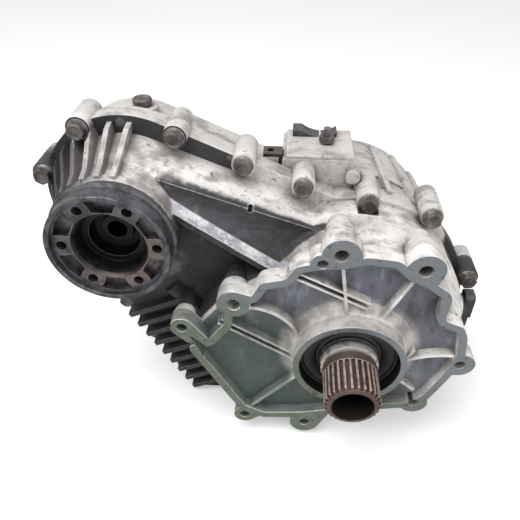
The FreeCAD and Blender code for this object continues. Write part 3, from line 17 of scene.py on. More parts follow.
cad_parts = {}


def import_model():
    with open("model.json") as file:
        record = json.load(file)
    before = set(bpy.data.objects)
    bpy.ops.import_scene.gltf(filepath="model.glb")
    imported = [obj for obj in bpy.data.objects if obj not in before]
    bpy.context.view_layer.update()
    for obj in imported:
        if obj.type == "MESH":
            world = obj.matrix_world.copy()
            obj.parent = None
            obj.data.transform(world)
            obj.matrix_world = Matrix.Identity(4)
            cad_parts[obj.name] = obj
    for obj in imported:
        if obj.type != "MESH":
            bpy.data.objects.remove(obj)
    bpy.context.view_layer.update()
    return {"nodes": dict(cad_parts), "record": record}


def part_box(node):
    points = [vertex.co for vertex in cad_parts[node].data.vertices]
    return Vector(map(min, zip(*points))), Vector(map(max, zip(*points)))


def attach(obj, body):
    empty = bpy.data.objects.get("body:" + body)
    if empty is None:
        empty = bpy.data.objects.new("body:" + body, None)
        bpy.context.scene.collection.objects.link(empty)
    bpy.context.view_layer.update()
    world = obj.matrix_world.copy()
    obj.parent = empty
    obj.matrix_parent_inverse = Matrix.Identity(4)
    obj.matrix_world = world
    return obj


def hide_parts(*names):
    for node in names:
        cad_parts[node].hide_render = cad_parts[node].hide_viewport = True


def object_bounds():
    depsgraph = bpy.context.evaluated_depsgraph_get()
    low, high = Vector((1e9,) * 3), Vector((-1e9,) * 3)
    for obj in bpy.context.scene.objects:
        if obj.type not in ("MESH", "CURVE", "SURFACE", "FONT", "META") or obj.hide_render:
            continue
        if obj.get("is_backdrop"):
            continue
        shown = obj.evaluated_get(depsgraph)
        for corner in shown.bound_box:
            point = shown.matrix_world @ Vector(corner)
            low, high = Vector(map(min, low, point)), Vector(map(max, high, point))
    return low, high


Colour = tuple[float, float, float]
Nodes = dict[str, bpy.types.Object]
Line = tuple[float, float]
Span = tuple[float, float]

LOG = logging.getLogger("transfer_case")
MM = 0.001
SQUARE_CM = 0.01
SHARP_ANGLE = math.radians(40)

# Lines along Y, as X and Z in millimetres
INPUT_LINE: Line = (0.0, 0.0)
FRONT_LINE: Line = (-185.0, 92.0)


def srgb(red: int, green: int, blue: int) -> Colour:
    """Turn screen values into linear light.

    Args:
        red: Red from 0 to 255.
        green: Green from 0 to 255.
        blue: Blue from 0 to 255.

    Returns:
        The colour as the shaders take it.
    """
    parts = []
    for part in (red, green, blue):
        share = part / 255
        parts.append(share / 12.92 if share <= 0.04045 else ((share + 0.055) / 1.055) ** 2.4)
    return (parts[0], parts[1], parts[2])


class Axis(Enum):
    """Axis of a surface point or of its normal."""

    X = 0
    Y = 1
    Z = 2


class Reach(Enum):
    """Which side of a surface is searched for near walls."""

    HOLLOWS = False
    EDGES = True


# --- Shader building ------------------------------------------------------------------------


class Value:
    """Number that varies over a surface. Arithmetic on it adds Math nodes."""

    def __init__(self, finish: "FinishTree", socket: bpy.types.NodeSocket) -> None:
        """Wrap one output socket.

        Args:
            finish: Tree that the socket belongs to.
            socket: Output that holds the number.
        """
        self.finish = finish
        self.socket = socket

    def _join(self, operation: str, first: "Value | float", second: "Value | float") -> "Value":
        """Math node on two numbers.

        Args:
            operation: Name of the Math node's operation.
            first: Left operand.
            second: Right operand.

        Returns:
            Result of the operation.
        """
        return self.finish.node("ShaderNodeMath", {"operation": operation}, {0: first, 1: second}).value()

    def __add__(self, other: "Value | float") -> "Value":
        """Sum."""
        return self._join("ADD", self, other)

    def __radd__(self, other: "Value | float") -> "Value":
        """Sum with the number on the left."""
        return self._join("ADD", other, self)

    def __sub__(self, other: "Value | float") -> "Value":
        """Difference."""
        return self._join("SUBTRACT", self, other)

    def __rsub__(self, other: "Value | float") -> "Value":
        """Difference with the number on the left."""
        return self._join("SUBTRACT", other, self)

    def __mul__(self, other: "Value | float") -> "Value":
        """Product."""
        return self._join("MULTIPLY", self, other)

    def __rmul__(self, other: "Value | float") -> "Value":
        """Product with the number on the left."""
        return self._join("MULTIPLY", other, self)

    def __neg__(self) -> "Value":
        """Negative."""
        return self._join("MULTIPLY", self, -1.0)

    def larger(self, other: "Value | float") -> "Value":
        """Larger of two numbers."""
        return self._join("MAXIMUM", self, other)

    def between(self, low: float, high: float) -> "Value":
        """Soft step that is 0 at low and 1 at high.

        Args:
            low: Number at which the step starts.
            high: Number at which the step ends; it may be below low.

        Returns:
            Share from 0 to 1.
        """
        start, end = min(low, high), max(low, high)
        rise = (0.0, 1.0) if high > low else (1.0, 0.0)
        return self.finish.node(
            "ShaderNodeMapRange",
            {"interpolation_type": "SMOOTHSTEP", "clamp": True},
            {"Value": self, "From Min": start, "From Max": end, "To Min": rise[0], "To Max": rise[1]},
        ).value("Result")


class Step:
    """Node that was added to a finish, and what can be read from it."""

    def __init__(self, finish: "FinishTree", node: bpy.types.Node) -> None:
        """Wrap one node.

        Args:
            finish: Tree that the node belongs to.
            node: The node itself.
        """
        self.finish = finish
        self.node = node

    def value(self, output: str | int = 0) -> Value:
        """Output read as a number."""
        return Value(self.finish, self.node.outputs[output])

    def socket(self, output: str | int = 0) -> bpy.types.NodeSocket:
        """Output read as a colour, vector or shader."""
        return self.node.outputs[output]


Feed = Value | bpy.types.NodeSocket | float | tuple[float, ...]


class FinishTree:
    """Node tree of one material round a Principled shader."""

    def __init__(self, name: str) -> None:
        """Start an empty material.

        Args:
            name: Name of the material.
        """
        self.material = bpy.data.materials.new(name)
        self.material.use_nodes = True
        self.tree = self.material.node_tree
        self.tree.nodes.clear()
        self.surface = self.node("ShaderNodeBsdfPrincipled", {}, {})
        self.node("ShaderNodeOutputMaterial", {}, {"Surface": self.surface.socket("BSDF")})
        self.place = self.node("ShaderNodeTexCoord", {}, {}).socket("Object")

    def node(self, kind: str, settings: dict[str, object], inputs: dict[str | int, Feed]) -> Step:
        """Add a node, set it and feed it.

        Args:
            kind: Type name of the node.
            settings: Attributes that are set before anything is linked.
            inputs: Values or links by socket name or number.

        Returns:
            The new node.
        """
        made = self.tree.nodes.new(kind)
        for name, setting in settings.items():
            setattr(made, name, setting)
        for key, feed in inputs.items():
            self._feed(made.inputs[key], feed)
        return Step(self, made)

    def _feed(self, target: bpy.types.NodeSocket, feed: Feed) -> None:
        """Link or set one input.

        Args:
            target: Input socket.
            feed: What goes in.
        """
        link = feed.socket if isinstance(feed, Value) else feed
        if isinstance(link, bpy.types.NodeSocket):
            self.tree.links.new(link, target)
        elif isinstance(feed, tuple) and target.type == "RGBA":
            target.default_value = (*feed[:3], 1.0)
        else:
            target.default_value = feed

    def along(self, axis: Axis) -> Value:
        """Place along one axis, in millimetres."""
        parts = self.node("ShaderNodeSeparateXYZ", {}, {"Vector": self.place})
        return parts.value(axis.value) * (1 / MM)

    def facing(self, axis: Axis) -> Value:
        """How far the surface faces along one axis, from -1 to 1."""
        normal = self.node("ShaderNodeNewGeometry", {}, {}).socket("Normal")
        return self.node("ShaderNodeSeparateXYZ", {}, {"Vector": normal}).value(axis.value)

    def from_line(self, line: Line) -> Value:
        """Squared distance from a line along Y.

        Args:
            line: X and Z of the line, in millimetres.

        Returns:
            Squared distance in square centimetres.
        """
        across, along = self.along(Axis.X) - line[0], self.along(Axis.Z) - line[1]
        return (across * across + along * along) * SQUARE_CM

    def noise(
        self,
        size: float,
        detail: float = 3.0,
        stretch: tuple[float, float, float] = (1, 1, 1),
    ) -> Value:
        """Cloudy noise.

        Args:
            size: Width of one cloud, in millimetres.
            detail: How many finer layers lie on it.
            stretch: How much closer the clouds are along each axis.

        Returns:
            Noise of about 0.5, from 0 to 1.
        """
        scaled = self.node("ShaderNodeVectorMath", {"operation": "MULTIPLY"}, {0: self.place, 1: stretch})
        return self.node(
            "ShaderNodeTexNoise",
            {},
            {"Vector": scaled.socket(), "Scale": 1 / (size * MM), "Detail": detail, "Roughness": 0.6},
        ).value(0)

    def near(self, reach: Reach, distance: float) -> Value:
        """How closely walls stand round a point.

        Args:
            reach: Whether hollows or sharp edges are wanted.
            distance: How far the search goes, in millimetres.

        Returns:
            1 deep in a hollow or on an edge, 0 on an open flat face.
        """
        search = self.node(
            "ShaderNodeAmbientOcclusion",
            {"inside": reach.value, "samples": 6},
            {"Distance": distance * MM},
        )
        return 1 - search.value("AO")

    def mix(self, share: Value | float, first: Feed, second: Feed) -> bpy.types.NodeSocket:
        """Blend of two colours.

        Args:
            share: Share of the second colour.
            first: First colour.
            second: Second colour.

        Returns:
            The blended colour.
        """
        return self.node(
            "ShaderNodeMix",
            {"data_type": "RGBA", "clamp_factor": True},
            {0: share, 6: first, 7: second},
        ).socket(2)

    def rounded(self, radius: float) -> bpy.types.NodeSocket:
        """Normal that softens sharp edges over a radius in millimetres."""
        return self.node("ShaderNodeBevel", {"samples": 4}, {"Radius": radius * MM}).socket(0)

    def bump(self, height: Value, depth: float, normal: bpy.types.NodeSocket) -> bpy.types.NodeSocket:
        """Normal tilted by a height.

        Args:
            height: Height over the surface, from 0 to 1.
            depth: What a height of 1 stands for, in millimetres.
            normal: Normal to start from.

        Returns:
            The tilted normal.
        """
        return self.node(
            "ShaderNodeBump",
            {},
            {"Height": height, "Distance": depth * MM, "Strength": 1.0, "Normal": normal},
        ).socket(0)

    def finish(self, **inputs: Feed) -> bpy.types.Material:
        """Feed the Principled shader.

        Args:
            inputs: Values by socket name, with underscores for spaces.

        Returns:
            The finished material.
        """
        for name, feed in inputs.items():
            self._feed(self.surface.node.inputs[name.replace("_", " ")], feed)
        return self.material


# --- Finishes ---------------------------------------------------------------------------------


@dataclass(frozen=True)
class Surface:
    """What the cast finish reads at a point: its place, where it faces and three sizes of cloud."""

    x: Value
    y: Value
    z: Value
    up: Value
    back: Value
    patches: Value
    blots: Value
    specks: Value

    @classmethod
    def read(cls, tree: FinishTree) -> "Surface":
        """Add the nodes that read a surface.

        Args:
            tree: Finish in the making.

        Returns:
            All that is read from it.
        """
        return cls(
            x=tree.along(Axis.X),
            y=tree.along(Axis.Y),
            z=tree.along(Axis.Z),
            up=tree.facing(Axis.Z),
            back=tree.facing(Axis.Y),
            patches=tree.noise(46, 5),
            blots=tree.noise(15, 6),
            specks=tree.noise(2.6, 3),
        )


@dataclass(frozen=True)
class CastAluminium:
    """Sand-cast aluminium with years of road dirt, pale on top, and near-black below with painted shade that
    is partly road dirt.

    The masks follow the casing's own features: the shelf that runs down to the bell, the finned
    cone of the front output and the recess inside the bell. Each span is a soft step, in
    millimetres, that is 0 at its first number and 1 at its second. A squared span is in square
    centimetres from a line.
    """

    clean: Colour = srgb(214, 210, 205)
    bleached: Colour = srgb(244, 241, 238)
    dull: Colour = srgb(138, 133, 131)
    # Soot and near-black: dark dirt colours that also serve as painted shade under the shelf, on the sump, in
    # the trough and in the recesses
    soot_and_shade: Colour = srgb(40, 37, 41)
    near_black: Colour = srgb(15, 13, 17)
    earth: Colour = srgb(150, 134, 116)
    # Mud: dirt colour that also serves as painted shade in wide hollows and round the trough
    mud_and_shade: Colour = srgb(76, 68, 62)
    # Trough: colour of painted shade. Shelf: lighter tone painted on the lip, which faces up into the light
    trough: Colour = srgb(54, 54, 62)
    shelf: Colour = srgb(158, 158, 168)
    floor: Colour = srgb(108, 110, 120)
    floor_green: Colour = srgb(80, 92, 86)
    pale_floor: Colour = srgb(158, 162, 170)
    machined: Colour = srgb(124, 130, 134)
    machined_green: Colour = srgb(102, 114, 98)
    worn: Colour = srgb(226, 226, 228)

    # Shelf: its plane in X and Z, and the line between its trough and its lip
    shelf_rise: tuple[float, float] = (0.4348, 0.9006)
    shelf_level: float = 35.8
    crest_slope: float = -0.2069
    crest_level: float = 19.5
    shelf_left_end: Span = (-166, -142)
    shelf_right_fade: Span = (-22, -50)
    shelf_right_line: float = 104.0
    behind_bell: Span = (17, 24)

    # Front output cone, and the arched recess between it and the parting flange
    cone_squared: Span = (46, 41)
    cone_back: Span = (86, 84)
    cone_shade_side: Span = (-205, -235)
    arch_squared: Span = (30, 34)
    arch_front: Span = (70, 78)
    recess_back: Span = (99, 96)
    arch_right: Span = (-80, -112)

    # Sump, flank and rear casing
    sump_left: Span = (-40, -70)
    sump_left_top: Span = (30, 0)
    sump_top: Span = (-30, -60)
    flank_x: Span = (74, 88)
    flank_front: Span = (58, 68)
    flank_top: Span = (96, 84)
    rear_casing: Span = (92, 108)
    belt_front: Span = (82, 86)
    belt_back: Span = (98, 95)
    belt_left: Span = (-104, -96)

    # Bell, its boss and the faces that were machined
    floor_back: Span = (13, 11)
    floor_front: Span = (1.5, 4)
    wall_back: Span = (13.5, 12.5)
    wall_front: Span = (0.6, 1.4)
    boss_squared: Span = (37, 27)
    boss_back: Span = (11, 8)
    boss_front: Span = (-11.9, -11)
    bore_squared: Span = (16.6, 16.3)
    bore_front: Span = (-11.9, -11.4)
    boss_face: Span = (-11, -11.6)
    face_depth: float = 0.35
    face_fade: float = 0.2

    def make(self) -> bpy.types.Material:
        """Build the material.

        Returns:
            The cast finish.
        """
        tree = FinishTree("cast_aluminium")
        spot = Surface.read(tree)
        edge = tree.near(Reach.EDGES, 1.8)
        colour = self._top(tree, spot)
        colour = self._crevices(tree, spot, colour)
        colour = self._trough(tree, spot, colour)
        colour, lip = self._lip(tree, spot, colour)
        # Painted shade, partly road dirt, on the lower and recessed parts; its share also damps the worn
        # edges and the metal
        colour, shade_and_grime = self._shade_and_road_dirt(tree, spot, colour, lip)
        colour = self._output_cone(tree, spot, colour)
        colour = self._bell_floor(tree, spot, colour)
        colour = self._boss(tree, spot, colour)

        worn_edge = (edge + (spot.specks - 0.5) * 0.6).between(0.3, 0.62)
        colour = tree.mix(worn_edge * (1 - shade_and_grime * 0.8) * 0.8, colour, self.worn)
        colour, cut = self._machined(tree, spot, colour)

        relief = tree.noise(0.9, 2) * 0.35 + tree.noise(4.5, 3) * 0.65
        normal = tree.bump(relief * (1 - cut), 0.75, tree.rounded(1.4))
        rough = 0.58 + (spot.specks - 0.5) * 0.3 - cut * 0.18 - worn_edge * 0.12 + shade_and_grime * 0.1
        metal = 0.3 + cut * 0.4 + worn_edge * 0.25 - shade_and_grime * 0.28
        return tree.finish(Base_Color=colour, Roughness=rough, Metallic=metal, Normal=normal)

    def _top(self, tree: FinishTree, spot: Surface) -> bpy.types.NodeSocket:
        """Bare metal with grey smears, pale scratches and some dried earth, duller at the rear.

        Args:
            tree: Finish in the making.
            spot: What is read from the surface.

        Returns:
            Colour of the open surfaces.
        """
        colour = tree.mix(spot.patches.between(0.36, 0.6), self.clean, self.bleached)
        smears = tree.noise(24, 8, (0.8, 1.2, 1.2))
        colour = tree.mix(smears.between(0.49, 0.66) * 0.75, colour, self.dull)
        colour = tree.mix(smears.between(0.42, 0.3) * 0.5, colour, self.earth)
        marks = tree.noise(5, 7)
        colour = tree.mix(marks.between(0.58, 0.72) * 0.6, colour, self.worn)
        dark_marks = (marks + (spot.blots - 0.5) * 0.4).between(0.4, 0.28)
        colour = tree.mix(dark_marks * 0.6, colour, self.soot_and_shade)
        earthy = (spot.blots + spot.specks * 0.3).between(0.7, 0.86)
        colour = tree.mix(earthy * 0.5, colour, self.earth)
        rearward = spot.y.between(70, 100) * spot.patches.between(0.3, 0.65)
        return tree.mix(rearward * 0.6, colour, self.dull)

    def _crevices(self, tree: FinishTree, spot: Surface, colour: Feed) -> bpy.types.NodeSocket:
        """Mud and painted shade in wide hollows, less of it on the belt by the parting flange, and sooty
        black with painted shade in tight ones.

        Args:
            tree: Finish in the making.
            spot: What is read from the surface.
            colour: Colour below the dirt and painted shade.

        Returns:
            Colour with the dirt and painted shade on it.
        """
        # Painted shade, partly dirt: the colour darkens in hollows, where shade falls
        wide = (tree.near(Reach.HOLLOWS, 26) + (spot.blots - 0.5) * 0.9).between(0.25, 0.8)
        tight = (tree.near(Reach.HOLLOWS, 7) + (spot.blots - 0.5) * 0.8).between(0.35, 0.8)
        belt = spot.y.between(*self.belt_front) * spot.y.between(*self.belt_back)
        belt = belt * spot.x.between(*self.belt_left)
        mud_and_shade = tree.mix((spot.blots + belt * 0.12).between(0.4, 0.62), self.mud_and_shade, self.dull)
        colour = tree.mix(wide * (0.8 - belt * 0.35), colour, mud_and_shade)
        return tree.mix(tight * 0.7, colour, self.soot_and_shade)

    def _over_shelf(self, spot: Surface) -> Value:
        """Height over the plane of the shelf, in millimetres."""
        return spot.x * self.shelf_rise[0] + spot.z * self.shelf_rise[1] - self.shelf_level

    def _behind_crest(self, spot: Surface) -> Value:
        """Distance behind the line between the lip and the trough, in millimetres."""
        return spot.y - (spot.x * self.crest_slope + self.crest_level)

    def _trough(self, tree: FinishTree, spot: Surface, colour: Feed) -> bpy.types.NodeSocket:
        """Painted shade: a dark trough behind the lip of the shelf, with a fringe of painted shade round it
        in dirt colours.

        Args:
            tree: Finish in the making.
            spot: What is read from the surface.
            colour: Colour below the painted shade.

        Returns:
            Colour with the trough in it.
        """
        height = self._over_shelf(spot)
        right_line = spot.x - spot.y * 2 + self.shelf_right_line
        left_end = spot.x.between(*self.shelf_left_end)

        # Fringe of painted shade round the trough
        fringe = right_line.between(46, -14) * spot.y.between(64, 50) * height.between(-4, 0)
        fringe = fringe * spot.y.between(*self.behind_bell) * left_end
        fringe = fringe * (spot.blots * 0.7 + spot.patches * 0.3).between(0.3, 0.56)
        # Colour of the painted shade round the trough
        dust = tree.mix(spot.specks.between(0.4, 0.6), self.mud_and_shade, self.dull)
        colour = tree.mix(fringe * 0.75, colour, dust)

        # Painted shade inside the trough, streaked with darker marks
        hollow = height.between(-0.6, 0.2) * self._behind_crest(spot).between(-1.5, 1.0)
        hollow = hollow * spot.y.between(62, 50) * right_line.between(-8, -34) * left_end
        ragged = (hollow + (spot.blots - 0.5) * 0.7 + (spot.specks - 0.5) * 0.3).between(0.2, 0.6)
        marks = tree.noise(8, 5, (0.4, 1.5, 1.5)).between(0.45, 0.62)
        dirt = tree.mix(marks, self.soot_and_shade, self.trough)
        return tree.mix(ragged * spot.y.between(18, 22) * 0.94, colour, dirt)

    def _lip(
        self,
        tree: FinishTree,
        spot: Surface,
        colour: Feed,
    ) -> tuple[bpy.types.NodeSocket, Value]:
        """Lip along the front of the shelf, painted as a lighter lit strip because it faces up.

        Args:
            tree: Finish in the making.
            spot: What is read from the surface.
            colour: Colour below it.

        Returns:
            Colour with the lip in it, and the share of the lip.
        """
        height = self._over_shelf(spot)
        # Painted light: the up-facing lip gets a lighter, lit tone
        lip = height.between(-1.2, -0.4) * height.between(5, 3)
        lip = lip * self._behind_crest(spot).between(0.5, -1.0) * spot.up.between(0.45, 0.7)
        lip = lip * spot.x.between(*self.shelf_right_fade) * spot.y.between(*self.behind_bell)
        rubbed = (spot.blots * 0.7 + spot.specks * 0.3).between(0.4, 0.6)
        return tree.mix(lip, colour, tree.mix(rubbed, self.shelf, self.worn)), lip

    def _shade_and_road_dirt(
        self,
        tree: FinishTree,
        spot: Surface,
        colour: Feed,
        lip: Value,
    ) -> tuple[bpy.types.NodeSocket, Value]:
        """Painted shade, partly road dirt: near-black under the shelf, on the sump, in the arched recess and
        on the flank.

        Args:
            tree: Finish in the making.
            spot: What is read from the surface.
            colour: Colour below the painted shade and dirt.
            lip: Share of the lip, which stays bright.

        Returns:
            Colour with the painted shade and dirt on it, and the share of both.
        """
        behind_bell = spot.y.between(*self.behind_bell)
        recess_back = spot.y.between(*self.recess_back)
        # Painted shadow under the overhang of the shelf
        below = self._over_shelf(spot).between(-0.4, -1.6) * (1 - lip)
        below = below * spot.x.between(*self.shelf_right_fade) * behind_bell
        # Painted shade, partly dirt, on the sump and its fins
        sump = spot.x.between(*self.sump_left) * spot.z.between(*self.sump_left_top)
        sump = sump.larger(spot.z.between(*self.sump_top)) * behind_bell
        # Painted shade, partly dirt, in the arched recess by the parting flange
        arch = tree.from_line(FRONT_LINE).between(*self.arch_squared)
        arch = arch * spot.y.between(*self.arch_front) * recess_back
        arch = arch * spot.up.between(0.85, 0.6) * (-spot.back).between(-0.2, 0.3)
        arch = arch * (spot.x + (spot.blots - 0.5) * 40).between(*self.arch_right)
        # Painted shade, partly dirt, on the flank by the parting flange
        flank = spot.x.between(*self.flank_x) * spot.y.between(*self.flank_front)
        flank = flank * recess_back * spot.z.between(*self.flank_top)

        # All masks together: painted shade, partly road dirt, lighter on the rear casing
        rear = spot.y.between(*self.rear_casing)
        dirt = (below.larger(sump) * (1 - rear * 0.55)).larger(arch).larger(flank)
        shade_and_grime = (dirt + (spot.patches - 0.5) * (rear * 1.6 + 0.4)).between(0.3, 0.7)
        shade_and_grime = shade_and_grime * (1 - rear * 0.35)
        # Near-black colour of the painted shade and dirt
        black = tree.mix(spot.blots.between(0.45, 0.7), self.near_black, self.soot_and_shade)
        return tree.mix(shade_and_grime * 0.96, colour, black), shade_and_grime

    def _output_cone(self, tree: FinishTree, spot: Surface, colour: Feed) -> bpy.types.NodeSocket:
        """Dusty cone and fins of the front output, with painted shade on their outer side.

        Args:
            tree: Finish in the making.
            spot: What is read from the surface.
            colour: Colour below the dust.

        Returns:
            Colour with the dust on it.
        """
        cone = tree.from_line(FRONT_LINE).between(*self.cone_squared) * spot.y.between(*self.cone_back)
        across = spot.x - FRONT_LINE[0]
        dusty = cone * (spot.blots + across * -0.004).between(0.25, 0.6)
        # Dust colour that turns to painted shade on the outer side of the cone
        dust = tree.mix(spot.x.between(*self.cone_shade_side), self.dull, self.soot_and_shade)
        return tree.mix(dusty * 0.75, colour, dust)

    def _bell_floor(self, tree: FinishTree, spot: Surface, colour: Feed) -> bpy.types.NodeSocket:
        """Blue-grey floor of the bell, greener at the lower left, as are the walls there.

        Args:
            tree: Finish in the making.
            spot: What is read from the surface.
            colour: Colour below it.

        Returns:
            Colour with the floor in it.
        """
        corner = (spot.x * -0.7 - spot.z + (spot.patches - 0.5) * 50).between(-20, 50)
        floor = tree.mix(corner, self.floor, self.floor_green)
        streaks = tree.noise(18, 7, (1.4, 1, 0.5))
        floor = tree.mix(streaks.between(0.48, 0.66) * 0.6, floor, self.soot_and_shade)
        floor = tree.mix(streaks.between(0.46, 0.32) * 0.55, floor, self.pale_floor)
        floor = tree.mix((spot.x - spot.z * 0.5).between(60, 95) * 0.5, floor, self.pale_floor)
        floor = tree.mix(spot.specks.between(0.66, 0.76) * 0.4, floor, self.worn)
        inside = (-spot.back).between(0.5, 0.85)
        inside = inside * spot.y.between(*self.floor_back) * spot.y.between(*self.floor_front)
        colour = tree.mix(inside, colour, floor)
        walls = spot.y.between(*self.wall_back) * spot.y.between(*self.wall_front)
        walls = walls * corner * (spot.blots + 0.2).between(0.3, 0.6)
        return tree.mix(walls * 0.75, colour, self.floor_green)

    def _boss(self, tree: FinishTree, spot: Surface, colour: Feed) -> bpy.types.NodeSocket:
        """Paler cone of the boss and its near-black bore.

        Args:
            tree: Finish in the making.
            spot: What is read from the surface.
            colour: Colour below it.

        Returns:
            Colour with the boss in it.
        """
        squared = tree.from_line(INPUT_LINE)
        cone = squared.between(*self.boss_squared)
        cone = cone * spot.y.between(*self.boss_back) * spot.y.between(*self.boss_front)
        rubbed = (spot.blots * 0.6 + spot.patches * 0.4).between(0.38, 0.6)
        colour = tree.mix(cone * 0.75, colour, tree.mix(rubbed, self.dull, self.clean))
        bore = squared.between(*self.bore_squared) * spot.y.between(*self.bore_front)
        return tree.mix(bore, colour, self.near_black)

    def _machined(
        self,
        tree: FinishTree,
        spot: Surface,
        colour: Feed,
    ) -> tuple[bpy.types.NodeSocket, Value]:
        """Mating face of the bell and end face of its boss, greener at the lower left.

        Args:
            tree: Finish in the making.
            spot: What is read from the surface.
            colour: Colour below it.

        Returns:
            Colour with the machined faces in it, and their share.
        """
        front = (-spot.back).between(0.9, 0.98)
        face = front * (spot.y + self.face_depth).between(0, self.face_fade)
        face = face * (spot.y - self.face_depth).between(0, -self.face_fade)
        cut = face.larger(front * spot.y.between(*self.boss_face))
        corner = (spot.x * -0.6 - spot.z + (spot.patches - 0.5) * 60).between(-40, 40)
        polished = tree.mix(corner, self.machined, self.machined_green)
        stained = (spot.specks * 0.5 + spot.blots * 0.5).between(0.46, 0.62)
        polished = tree.mix(stained * 0.5, polished, self.dull)
        polished = tree.mix(tree.noise(7, 6).between(0.56, 0.7) * 0.6, polished, self.soot_and_shade)
        return tree.mix(cut, colour, polished), cut


@dataclass(frozen=True)
class WorkedSteel:
    """Turned or ground steel with an oil film, dirt and painted shade in its hollows, bright edges that are
    partly wear and partly a painted highlight, and some rust.
    """

    name: str
    light: Colour
    dark: Colour
    stain: Colour
    # Shine: bright edge colour, partly wear and partly painted highlight. Crevice: colour of dirt and painted
    # shade in hollows
    shine: Colour = srgb(214, 210, 206)
    crevice: Colour = srgb(22, 20, 20)
    oil: Colour = srgb(14, 15, 17)
    stain_share: float = 0.3
    roughness: float = 0.38
    metallic: float = 0.85
    shade_and_grime: float = 0.8
    edge_share: float = 0.5
    turned: bool = False
    cups: tuple[Line, ...] = ()
    cup_squared: Span = (9.5, 6.4)

    def make(self) -> bpy.types.Material:
        """Build the material.

        Returns:
            The steel finish.
        """
        tree = FinishTree(self.name)
        blots = tree.noise(9, 5)
        specks = tree.noise(1.6, 3)
        hollow = tree.near(Reach.HOLLOWS, 9)
        edge = tree.near(Reach.EDGES, 1.0)
        colour = tree.mix(blots.between(0.35, 0.68), self.light, self.dark)
        stained = (blots * 0.6 + specks * 0.4).between(0.48, 0.64)
        colour = tree.mix(stained * self.stain_share, colour, self.stain)
        colour = self.zones(tree, colour)
        # Dirt and painted shade in the hollows
        crevice = (hollow + (blots - 0.5) * 0.4).between(0.3, 0.85)
        colour = tree.mix(crevice * self.shade_and_grime, colour, self.crevice)
        # Bright edges: partly wear, partly painted highlight
        shine = (edge + (specks - 0.5) * 0.5).between(0.35, 0.7)
        colour = tree.mix(shine * self.edge_share, colour, self.shine)
        height = specks * 0.5 + tree.noise(0.5, 2) * 0.5
        if self.turned:
            height = height * 0.4 + tree.noise(0.7, 1, (0.05, 1, 0.05)) * 0.6
        return tree.finish(
            Base_Color=colour,
            Roughness=self.roughness + (specks - 0.5) * 0.25 + crevice * 0.3,
            Metallic=self.metallic - crevice * 0.5,
            Normal=tree.bump(height, 0.08, tree.rounded(0.5)),
        )

    def zones(self, tree: FinishTree, colour: Feed) -> Feed:
        """Colour with the oily middle of each cup.

        Args:
            tree: Finish in the making.
            colour: Colour below the oil.

        Returns:
            Colour with the oil on it.
        """
        for line in self.cups:
            squared = tree.from_line(line) + (tree.noise(7, 4) - 0.5) * 3
            colour = tree.mix(squared.between(*self.cup_squared) * 0.96, colour, self.oil)
        return colour


@dataclass(frozen=True)
class SplinedShaft(WorkedSteel):
    """Input shaft: ground collar with a painted highlight, brown land, rusty splines with bright crests, and
    a bore and seal end darkened with painted shade.
    """

    # Collar: colour of the painted highlight. Bore and deep: colours of painted shade
    collar: Colour = srgb(226, 222, 220)
    land: Colour = srgb(98, 88, 80)
    crest: Colour = srgb(206, 186, 174)
    groove: Colour = srgb(84, 68, 60)
    bore: Colour = srgb(50, 45, 39)
    deep: Colour = srgb(12, 11, 11)

    def zones(self, tree: FinishTree, colour: Feed) -> Feed:
        """Zones along the shaft and between the crests and grooves of its splines.

        Args:
            tree: Finish in the making.
            colour: Colour below the zones.

        Returns:
            Colour with the zones in it.
        """
        y, z = tree.along(Axis.Y), tree.along(Axis.Z)
        squared = tree.from_line(INPUT_LINE)
        blots = tree.noise(5, 5)
        # Painted highlight on the collar, brighter towards its top
        bright = y.between(-14.5, -12.5) * (blots + z * 0.006).between(0.42, 0.62)
        colour = tree.mix(bright, colour, self.collar)
        # Painted shade where the shaft runs into the seal
        colour = tree.mix(y.between(-8, -3) * 0.9, colour, self.deep)
        land = y.between(-12, -14) * y.between(-22, -20)
        colour = tree.mix(land * 0.8, colour, self.land)
        splines = y.between(-20, -21)
        crests = splines * squared.between(4.3, 4.6) * (blots + 0.05).between(0.36, 0.62)
        colour = tree.mix(crests, colour, self.crest)
        colour = tree.mix(splines * squared.between(4.5, 4.1) * 0.8, colour, self.groove)
        # Painted shade in the bore, darker deeper in
        bore = tree.mix((y + (blots - 0.5) * 10).between(-40, -22), self.bore, self.deep)
        return tree.mix(squared.between(2.9, 2.6), colour, bore)


@dataclass(frozen=True)
class CuppedFlange(WorkedSteel):
    """Output flange: oily dark cup, brown below, and a turned rim with a painted highlight on its upper side.
    """

    brown: Colour = srgb(128, 112, 105)
    # Colour of the painted highlight on the rim
    rim: Colour = srgb(178, 178, 184)

    def zones(self, tree: FinishTree, colour: Feed) -> Feed:
        """Brown lower side of each flange and a painted highlight on the upper side of its rim, under the oil
        of its cup.

        Args:
            tree: Finish in the making.
            colour: Colour below the zones.

        Returns:
            Colour with the zones in it.
        """
        x, z = tree.along(Axis.X), tree.along(Axis.Z)
        blots = tree.noise(7, 5)
        for line in self.cups:
            across, along, squared = x - line[0], z - line[1], tree.from_line(line)
            side = (across * 0.6 - along * 0.8).between(-10, 25)
            side = side * squared.between(16.5, 15) * squared.between(6, 8)
            browned = tree.mix(blots.between(0.4, 0.7), self.brown, self.dark)
            colour = tree.mix(side * 0.8, colour, browned)
            # Painted highlight on the upper side of the rim
            rim = squared.between(24.6, 25.8) * squared.between(40, 36) * along.between(-40, 30)
            colour = tree.mix(rim * (blots + 0.1).between(0.36, 0.55) * 0.7, colour, self.rim)
        return super().zones(tree, colour)


